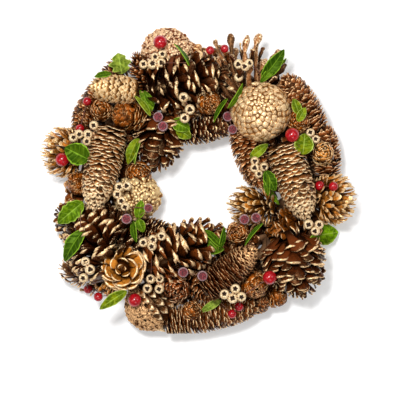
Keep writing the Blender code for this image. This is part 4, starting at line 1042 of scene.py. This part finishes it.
def cone_material(name, dark, wood, inner, gold, shade, cover, crown=0.0, root=0.16, vary=0.15,
                  patch=0.0, foot=0.0):
    """Lacquered brown scales with painted shade, nearly black, in their gaps, lighter wood near the cone's
    foot as painted light, and gold brushed over their tips.
    """
    material, shader, add = new_material("cone_" + name)
    fine, broad, dapple = noise(add, 900, 4), noise(add, 120, 3), noise(add, 420, 4, 0.75)
    tone, deep = attribute(add, "tone"), attribute(add, "deep")
    light = plus(add, times(add, tone, 0.25), times(add, broad, 0.4))
    light = plus(add, light, dapple)
    low_wood, high_wood = [c * 0.30 for c in wood], [min(1.0, c * 2.2) for c in wood]
    base = mixed(add, ramp(add, light, 0.68, 1.02), low_wood, high_wood)
    base = mixed(add, times(add, attribute(add, "inner"), ramp(add, light, 0.6, 1.1, 0.15, 0.75)),
                 base, inner)
    # Painted light: the wood near the cone's foot is lightened, and the painted shade of its gaps is weaker
    # there
    painted_light_foot = times(add, ramp(add, attribute(add, "order"), 0.45, 0.15), foot)
    base = mixed(add, painted_light_foot, base, [c * 3.2 for c in wood])
    # Painted shade: towards the roots of the scales, and over the whole body, the colour goes to the dark gap
    # colour
    gap_shade = minus(add, deep, times(add, painted_light_foot, 0.45))
    base = mixed(add, ramp(add, gap_shade, root, root + 0.5), base, dark)
    amount = plus(add, attribute(add, "gold"), times(add, fine, 0.5))
    amount = plus(add, amount, times(add, minus(add, tone, 0.5), vary))
    amount = plus(add, amount, times(add, minus(add, dapple, 0.5), patch))
    tipward = ramp(add, attribute(add, "order"), 0.55, 0.90)
    amount = plus(add, amount, times(add, tipward, crown))
    brushed = ramp(add, amount, 1.30 - cover, 1.54 - cover)
    stain = plus(add, times(add, fine, 0.5), times(add, dapple, 0.5))
    gilded = mixed(add, ramp(add, stain, 0.40, 0.55), shade, gold)
    set_inputs(shader, {
        "Base Color": mixed(add, brushed, base, gilded), "Metallic": times(add, brushed, 0.45),
        "Roughness": ramp(add, brushed, 0.0, 1.0, 0.24, 0.36), "Specular IOR Level": 0.35,
        "Specular Tint": (1.0, 0.60, 0.28, 1.0), "Normal": bump(add, 0.55, 0.0008, stain)})
    return material


def build_ring():
    """The vine ring: a bundle of vines twisted round each other, flat underneath."""
    rng = np.random.default_rng(RING_SEED)
    turns = np.arange(VINE_STEPS) / VINE_STEPS * math.tau
    angles = np.arange(VINE_SIDES) / VINE_SIDES * math.tau
    batch = Batch()
    faces = []
    for step in range(VINE_STEPS):
        here, after = step * VINE_SIDES, (step + 1) % VINE_STEPS * VINE_SIDES
        for side in range(VINE_SIDES):
            beside = (side + 1) % VINE_SIDES
            faces.append((here + side, after + side, after + beside, here + beside))
    for vine in range(VINES):
        phase = vine / VINES * math.tau + VINE_TWISTS * turns + 0.15 * np.sin(3 * turns + vine)
        reach = 0.80 if vine % 3 else 0.45
        across = reach * np.cos(phase) * (RING_HALF_WIDTH - VINE_RADIUS)
        height = RING_HEIGHT / 2 + reach * np.sin(phase) * (RING_HEIGHT / 2 - VINE_RADIUS) * 1.1
        thick = VINE_RADIUS * (1 + 0.10 * np.sin(17 * turns + vine) + 0.05 * rng.normal(size=VINE_STEPS))
        radial = RING_MID_RADIUS + across[:, None] + thick[:, None] * np.cos(angles)
        rise = np.clip(height[:, None] + thick[:, None] * np.sin(angles), 0.0, RING_HEIGHT)
        place = np.stack([radial * np.cos(turns)[:, None], radial * np.sin(turns)[:, None], rise], -1)
        batch.add(place.reshape(-1, 3), faces, {"tone": rng.random()})
    batch.piece("vine_bundle", vine_material(), "vine", "vine_ring")


def build_chips(envelopes, material):
    """Loose scales glued over the ring, in the gaps between the cones."""
    rng = np.random.default_rng(CHIP_SEED)
    batch = Batch()
    for chip in range(CHIPS):
        around, over = rng.uniform(0, math.tau), rng.uniform(CHIP_EDGE, math.pi - CHIP_EDGE)
        reaching = chip % 2 == 0
        if reaching:
            beside = rng.uniform(*CHIP_SIDE)
            over = beside if chip % 4 else math.pi - beside
        out = Vector((math.cos(around), math.sin(around), 0.0))
        normal = out * math.cos(over) + Vector((0.0, 0.0, math.sin(over)))
        place = (out * (RING_MID_RADIUS + RING_HALF_WIDTH * math.cos(over) * 0.95)
                 + Vector((0.0, 0.0, RING_HEIGHT * (0.5 + 0.5 * math.sin(over)))))
        spin = rng.uniform(0, math.tau)
        side = normal.cross(Vector((-out.y, out.x, 0.0)))
        lie = Vector((-out.y, out.x, 0.0)) * math.cos(spin) + side * math.sin(spin)
        lie = (lie + normal * rng.uniform(*CHIP_RISES[reaching])).normalized()
        size = rng.uniform(*CHIP_LENGTH) * CHIP_STRETCHES[reaching]
        tip = place + lie * size
        ends = np.array([tuple(tip), tuple(place.lerp(tip, 0.5))])
        if tip.z < CHIP_LOW or any((envelope.depth(ends) > BURIED_CHIP).any() for envelope in envelopes):
            continue
        half, thick = size * CHIP_HALF_WIDTH, size * CHIP_HALF_THICKNESS
        batch.add(*scale_between(place, tip, half, thick, "tongue", rng))
    batch.piece("ring_scales", material, "brown_cone")


def vine_material():
    """Rough brown bark with fine stripes."""
    material, shader, add = new_material("vine_bark")
    fine, broad = noise(add, 600, 5), noise(add, 60, 3)
    amount = plus(add, times(add, attribute(add, "tone"), 0.4), broad)
    bark = mixed(add, ramp(add, amount, 0.35, 1.0), *VINE_BARK)
    set_inputs(shader, {"Base Color": bark, "Roughness": 0.8, "Normal": bump(add, 0.6, 0.001, fine)})
    return material


def entry_columns(entry):
    """Points in plan at which the height of a berry, pod or leaf shows, and its form's height there."""
    if entry[0] == "leaf":
        base, tip = metres(*entry[2]), metres(*entry[3])
        curl = LEAVES[entry[1]]["curl"] * (tip - base).length
        top = 0.5 * LEAF_THICKNESS
        return [(base.lerp(tip, share), top - curl * (2 * share - 1) ** 2) for share in COLUMN_SHARES]
    return [(metres(entry[1], entry[2]), BERRY_RISE[entry[0]] * (entry[3] * MM))]


def seen_height(place, tree):
    """The height of a packed form seen from above at a place, or None beside it."""
    hit = tree.ray_cast(Vector((place.x, place.y, ABOVE)), Vector((0.0, 0.0, -1.0)))[0]
    return None if hit is None else hit.z


def entry_height(entry, tree):
    """The height at which an item of a pick lies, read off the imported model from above."""
    heights = []
    for place, rise in entry_columns(entry):
        seen = seen_height(place, tree)
        if seen is not None:
            heights.append(seen - rise)
    return float(np.median(heights)) if heights else None


def revolved(profile, sides, lobes=0, turn=0.0):
    """A closed body of revolution. A row of the profile is reach, height and how far it is a star."""
    angles = np.arange(sides) / sides * math.tau
    rows = np.array(profile)
    star = 1 + rows[:, 2][:, None] * np.cos(lobes * (angles[None] + turn))
    reach = rows[:, 0][:, None] * star
    points = np.stack([reach * np.cos(angles)[None], reach * np.sin(angles)[None],
                       np.broadcast_to(rows[:, 1][:, None], reach.shape)], -1)
    return points.reshape(-1, 3), [face[::-1] for face in tube_faces(len(rows), sides)]


def leaf_points(entry, height, rng):
    """A leaf's two skins with a folded rib, lobed or wavy edges and its values for the material."""
    shape = LEAVES[entry[1]]
    base, tip, width = metres(*entry[2]), metres(*entry[3]), entry[4] * MM
    length = (tip - base).length
    share = np.linspace(0.0, 1.0, LEAF_STATIONS)[:, None]
    side = np.linspace(-1.0, 1.0, LEAF_COLUMNS)[None, :]
    swell = np.maximum(0.06, np.sin(math.pi * share ** LEAF_EASE) ** LEAF_FULLNESS)
    ends = np.sin(math.pi * share) ** 0.5
    lobe = shape["lobe"] * -np.cos(math.pi * shape["lobes"] * share) * ends
    swell = swell * (1 + lobe)
    rise = shape["fold"] * np.abs(side) ** 1.3 * width * swell
    rise = rise - shape["curl"] * length * (2 * share - 1) ** 2
    phase = rng.uniform(0, math.tau)
    wave = shape["wave"] * width * np.sin(share * 13 + phase + np.sign(side)) * np.abs(side) ** 2 * ends
    vein = 0.012 * width * np.cos(math.tau * (share * VEINS - np.abs(side) * 0.9)) * (np.abs(side) > 0.05)
    top = rise + wave - vein
    along = np.broadcast_to(share * length, top.shape)
    across = side * swell * width / 2
    skins = [np.stack([along, across, top + offset], -1)
             for offset in (LEAF_THICKNESS / 2, -LEAF_THICKNESS / 2)]
    points = np.concatenate([skin.reshape(-1, 3) for skin in skins])
    turn = math.atan2(tip.y - base.y, tip.x - base.x)
    matrix = (Matrix.Translation((base.x, base.y, height)) @ Matrix.Rotation(turn, 4, "Z")
              @ Matrix.Rotation(math.radians(entry[5]), 4, "X"))
    values = {"tint": list(LEAF_GREENS).index(entry[6]),
              "along": np.tile(np.broadcast_to(share, top.shape).ravel(), 2),
              "across": np.tile(np.broadcast_to(side, top.shape).ravel(), 2)}
    return apply_matrix(matrix, points), leaf_faces(), values


def leaf_faces():
    """The faces of a leaf: an upper and a lower skin joined round their edge."""
    rows, columns = LEAF_STATIONS, LEAF_COLUMNS
    skin = rows * columns
    faces = []
    for row in range(rows - 1):
        for column in range(columns - 1):
            corner = row * columns + column
            quad = (corner, corner + columns, corner + columns + 1, corner + 1)
            faces.append(quad)
            faces.append(tuple(skin + place for place in reversed(quad)))
    edge = [row * columns for row in range(rows)]
    edge += [(rows - 1) * columns + column for column in range(1, columns)]
    edge += [row * columns + columns - 1 for row in range(rows - 2, -1, -1)]
    edge += list(range(columns - 2, 0, -1))
    for here, after in zip(edge, edge[1:] + edge[:1]):
        faces.append((after, here, skin + here, skin + after))
    return faces


def tube_points(path, radius, sides=6):
    """A round stem along a path of points."""
    path = np.array([tuple(point) for point in path])
    along = np.gradient(path, axis=0)
    along /= np.linalg.norm(along, axis=1, keepdims=True)
    side = np.cross(along, (0.0, 0.0, 1.0))
    size = np.linalg.norm(side, axis=1, keepdims=True)
    side = np.where(size > 0.05, side / np.maximum(size, 1e-9), np.array([[1.0, 0.0, 0.0]]))
    rise = np.cross(side, along)
    angles = np.arange(sides) / sides * math.tau
    ring = np.cos(angles)[None, :, None] * side[:, None] + np.sin(angles)[None, :, None] * rise[:, None]
    faces = [face[::-1] for face in tube_faces(len(path), sides)]
    return (path[:, None] + radius * ring).reshape(-1, 3), faces


def stem_joint(entry, height):
    """Where the stem joins an item of a pick."""
    if entry[0] == "leaf":
        base, tip = metres(*entry[2]), metres(*entry[3])
        place = base.lerp(tip, STEM_SHARE)
        curl = LEAVES[entry[1]]["curl"] * (tip - base).length
        return Vector((place.x, place.y, height - curl * (2 * STEM_SHARE - 1) ** 2 - 1.5 * STEM_THICKNESS))
    middle = metres(entry[1], entry[2])
    return Vector((middle.x, middle.y, height - JOINT_DEPTH[entry[0]] * entry[3] * MM))


def smooth_route(start, end, tree):
    """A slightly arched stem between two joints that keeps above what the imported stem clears."""
    points = []
    top = max(start.z, end.z)
    for step in range(ROUTE_POINTS):
        place = start.lerp(end, step / (ROUTE_POINTS - 1))
        seen = seen_height(place, tree)
        if 2 < step < ROUTE_POINTS - 3 and seen is not None and seen > place.z:
            top = max(top, min(seen, place.z + STEM_LIFT))
        points.append(place)
    lift = top - (start.z + end.z) / 2
    for step, point in enumerate(points):
        share = step / (ROUTE_POINTS - 1)
        point.z += max(lift - 0.5 * abs(start.z - end.z), 0.0) * 4 * share * (1 - share)
    return points


def build_pick(index, name, entries, materials):
    """One pick: its leaves, berries, pods and stems, each at the height of its packed form."""
    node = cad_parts[name]
    tree = BVHTree.FromPolygons([tuple(vert.co) for vert in node.data.vertices],
                                [tuple(face.vertices) for face in node.data.polygons])
    rng = np.random.default_rng(PICK_SEED + index)
    batches = {kind: Batch() for kind in ("leaf", "red", "frosted", "pod", "stem")}
    joints = []
    for entry in entries:
        height = entry_height(entry, tree)
        if height is None:
            continue
        tone = rng.random()
        if entry[0] == "leaf":
            points, faces, values = leaf_points(entry, height, rng)
        else:
            rows, marks = {"pod": (POD_ROWS, POD_MOUTH), "red": (RED_ROWS, RED_END),
                           "frosted": (FROSTED_ROWS, FROSTED_CORE)}[entry[0]]
            points, faces = revolved(rows, BERRY_SIDES, int(rng.integers(3, 6)), rng.uniform(0, 3))
            points *= entry[3] * MM
            tilt = Matrix.Rotation(math.radians(rng.uniform(*TILTS[entry[0]])), 4, "X")
            spin = Matrix.Rotation(rng.uniform(0, math.tau), 4, "Z")
            middle = metres(entry[1], entry[2])
            middle.z = height
            points = apply_matrix(Matrix.Translation(middle) @ spin @ tilt, points)
            values = {"mark": np.repeat(np.array(marks, float), BERRY_SIDES)}
        batches[entry[0]].add(points, faces, {**values, "tone": tone})
        joint = stem_joint(entry, height)
        if joints:
            start = min(joints, key=lambda other: (other - joint).length)
            route = smooth_route(start, joint, tree)
            points, faces = tube_points(route, STEM_THICKNESS / 2)
            batches["stem"].add(points, faces, {"tone": rng.random()})
        joints.append(joint)
    for kind, slot in PICK_SLOTS.items():
        batches[kind].piece(name + "_" + kind, materials[kind], slot, name)


def leaf_material():
    """Glossy green with a pale rib, faint side veins and a pale edge."""
    material, shader, add = new_material("leaf_green")
    along, across, tone = attribute(add, "along"), attribute(add, "across"), attribute(add, "tone")
    size = combine(add, "ABSOLUTE", across, 0.0)
    fine = noise(add, 300, 3)
    tint = attribute(add, "tint")
    green, *others = LEAF_GREENS.values()
    for step, colour in enumerate(others):
        green = mixed(add, ramp(add, tint, step, step + 1), green, colour)
    broad = plus(add, noise(add, 90, 2), times(add, tone, 0.3))
    light = times(add, ramp(add, broad, 0.45, 1.0), 0.30)
    green = mixed(add, light, green, LEAF_LIGHT)
    dim = times(add, ramp(add, noise(add, 210, 3), 0.62, 0.42), 0.70)
    green = mixed(add, dim, green, LEAF_SHADOW)
    waves = minus(add, times(add, along, VEINS), times(add, size, 0.9))
    near = combine(add, "PINGPONG", waves, 0.5)
    vein = ramp(add, near, 0.44, 0.50)
    rib = ramp(add, size, 0.08, 0.01)
    edge = ramp(add, plus(add, size, times(add, fine, 0.25)), 0.96, 1.08)
    pale = combine(add, "MAXIMUM", times(add, vein, 0.38), times(add, rib, 0.50))
    pale = combine(add, "MAXIMUM", pale, times(add, edge, 0.9))
    line = mixed(add, ramp(add, tint, 0.0, 2.0), *LEAF_LINES)
    set_inputs(shader, {
        "Base Color": mixed(add, pale, green, line), "Roughness": 0.36, "Specular IOR Level": 0.26,
        "Specular Tint": (0.60, 1.0, 0.10, 1.0),
        "Normal": bump(add, 0.3, 0.0008, minus(add, fine, times(add, vein, 0.5)))})
    return material


def red_material():
    """Lacquered red with a dark dry end."""
    material, shader, add = new_material("berry_red")
    fine = noise(add, 250, 2)
    red = mixed(add, ramp(add, fine, 0.3, 0.7), *RED_SKIN)
    colour = mixed(add, attribute(add, "mark"), red, RED_DRY_END)
    set_inputs(shader, {"Base Color": colour, "Roughness": 0.20, "Specular IOR Level": 0.50})
    return material


def frosted_material():
    """Sugared maroon: a pale thick rim round a granular core."""
    material, shader, add = new_material("berry_frosted")
    grain, broad = noise(add, 1500, 2), noise(add, 800, 2)
    rim = mixed(add, ramp(add, grain, 0.40, 0.60), *FROSTED_RIM_COLOURS)
    core = mixed(add, ramp(add, broad, 0.46, 0.64), *FROSTED_CORE_COLOURS)
    colour = mixed(add, attribute(add, "mark"), rim, core)
    set_inputs(shader, {"Base Color": colour, "Roughness": 0.6, "Normal": bump(add, 0.9, 0.0009, grain)})
    return material


def pod_material():
    """Pale gold seed pods with a dark star-shaped mouth, its hollow near black: its own unpainted inside and
    painted shade.
    """
    material, shader, add = new_material("pod_gold")
    fine, broad = noise(add, 800, 4), noise(add, 160, 2)
    shell = mixed(add, ramp(add, fine, 0.35, 0.65), *POD_SHELL)
    shell = mixed(add, ramp(add, broad, 0.60, 0.75), shell, POD_STAIN)
    # Painted shade and the dark inside together in the hollow of the mouth
    colour = mixed(add, attribute(add, "mark"), shell, POD_INSIDE)
    set_inputs(shader, {"Base Color": colour, "Roughness": 0.45, "Metallic": 0.2,
                        "Normal": bump(add, 0.5, 0.0006, fine)})
    return material


def stem_material():
    """Thin stems, dark red and brown."""
    material, shader, add = new_material("stem_dark")
    fine = noise(add, 400, 3)
    colour = mixed(add, ramp(add, fine, 0.35, 0.65), *STEM_COLOURS)
    set_inputs(shader, {"Base Color": colour, "Roughness": 0.5})
    return material


def build_stage():
    """A white floor, soft light and the camera, which looks straight down."""
    half = FLOOR_SIZE / 2
    mesh = bpy.data.meshes.new("floor")
    corners = [(x * half, y * half, FLOOR_HEIGHT) for x, y in ((-1, -1), (1, -1), (1, 1), (-1, 1))]
    mesh.from_pydata(corners, [], [(0, 1, 2, 3)])
    floor = bpy.data.objects.new("floor", mesh)
    bpy.context.scene.collection.objects.link(floor)
    material, shader, _ = new_material("floor_white")
    set_inputs(shader, {
        "Base Color": (FLOOR_GREY, FLOOR_GREY, FLOOR_GREY, 1), "Emission Color": (1, 1, 1, 1),
        "Emission Strength": FLOOR_GLOW, "Roughness": 0.9, "Specular IOR Level": 0.0})
    mesh.materials.append(material)
    world = bpy.data.worlds.new("studio")
    bpy.context.scene.world = world
    world.use_nodes = True
    background = world.node_tree.nodes["Background"]
    background.inputs[0].default_value = (1.0, 1.0, 1.0, 1.0)
    background.inputs[1].default_value = WORLD_LIGHT
    for name, place, size, power in LIGHTS:
        lamp = bpy.data.lights.new(name, "AREA")
        lamp.size, lamp.energy = size, power
        item = bpy.data.objects.new(name, lamp)
        item.location = place
        item.rotation_euler = (-Vector(place)).to_track_quat("-Z", "Y").to_euler()
        bpy.context.scene.collection.objects.link(item)
    camera = bpy.data.cameras.new("camera")
    camera.type = "PERSP"
    camera.sensor_width = SENSOR
    camera.lens = SENSOR * CAMERA_HEIGHT / (IMAGE_SIZE * PIXEL)
    camera.clip_end = 20
    eye = bpy.data.objects.new("camera", camera)
    middle = metres(IMAGE_SIZE / 2, IMAGE_SIZE / 2)
    eye.location = (middle.x, middle.y, FOCUS_HEIGHT + CAMERA_HEIGHT)
    bpy.context.scene.collection.objects.link(eye)
    bpy.context.scene.camera = eye
    bpy.context.scene.view_settings.view_transform = "Standard"


def main():
    """Dress the wreath."""
    materials = {name: cone_material(name, **colours) for name, colours in FINISHES.items()}
    envelopes = []
    for index, (_, kind, _, base, tip, radius) in enumerate(CONES):
        envelopes.append(Envelope(kind, metres(*base), metres(*tip), radius * MM, index * CONE_TURN))
    for index, cone in enumerate(CONES):
        build = build_dome if cone[1] in ("dome", "disc") else build_cone
        build(index, envelopes, materials)
        if cone[1] == "fan_long":
            build_fingers(index, materials)
        if cone[2] == "husk":
            build_flakes(index, materials)
    for extra in range(len(LOOSE)):
        build_cone(len(CONES) + extra, envelopes, materials)
    build_chips(envelopes, materials["brown"])
    build_ring()
    pick_materials = {"leaf": leaf_material(), "red": red_material(), "frosted": frosted_material(),
                      "pod": pod_material(), "stem": stem_material()}
    for index, (name, entries) in enumerate(PICKS.items()):
        build_pick(index, name, entries, pick_materials)
    build_stage()


main()
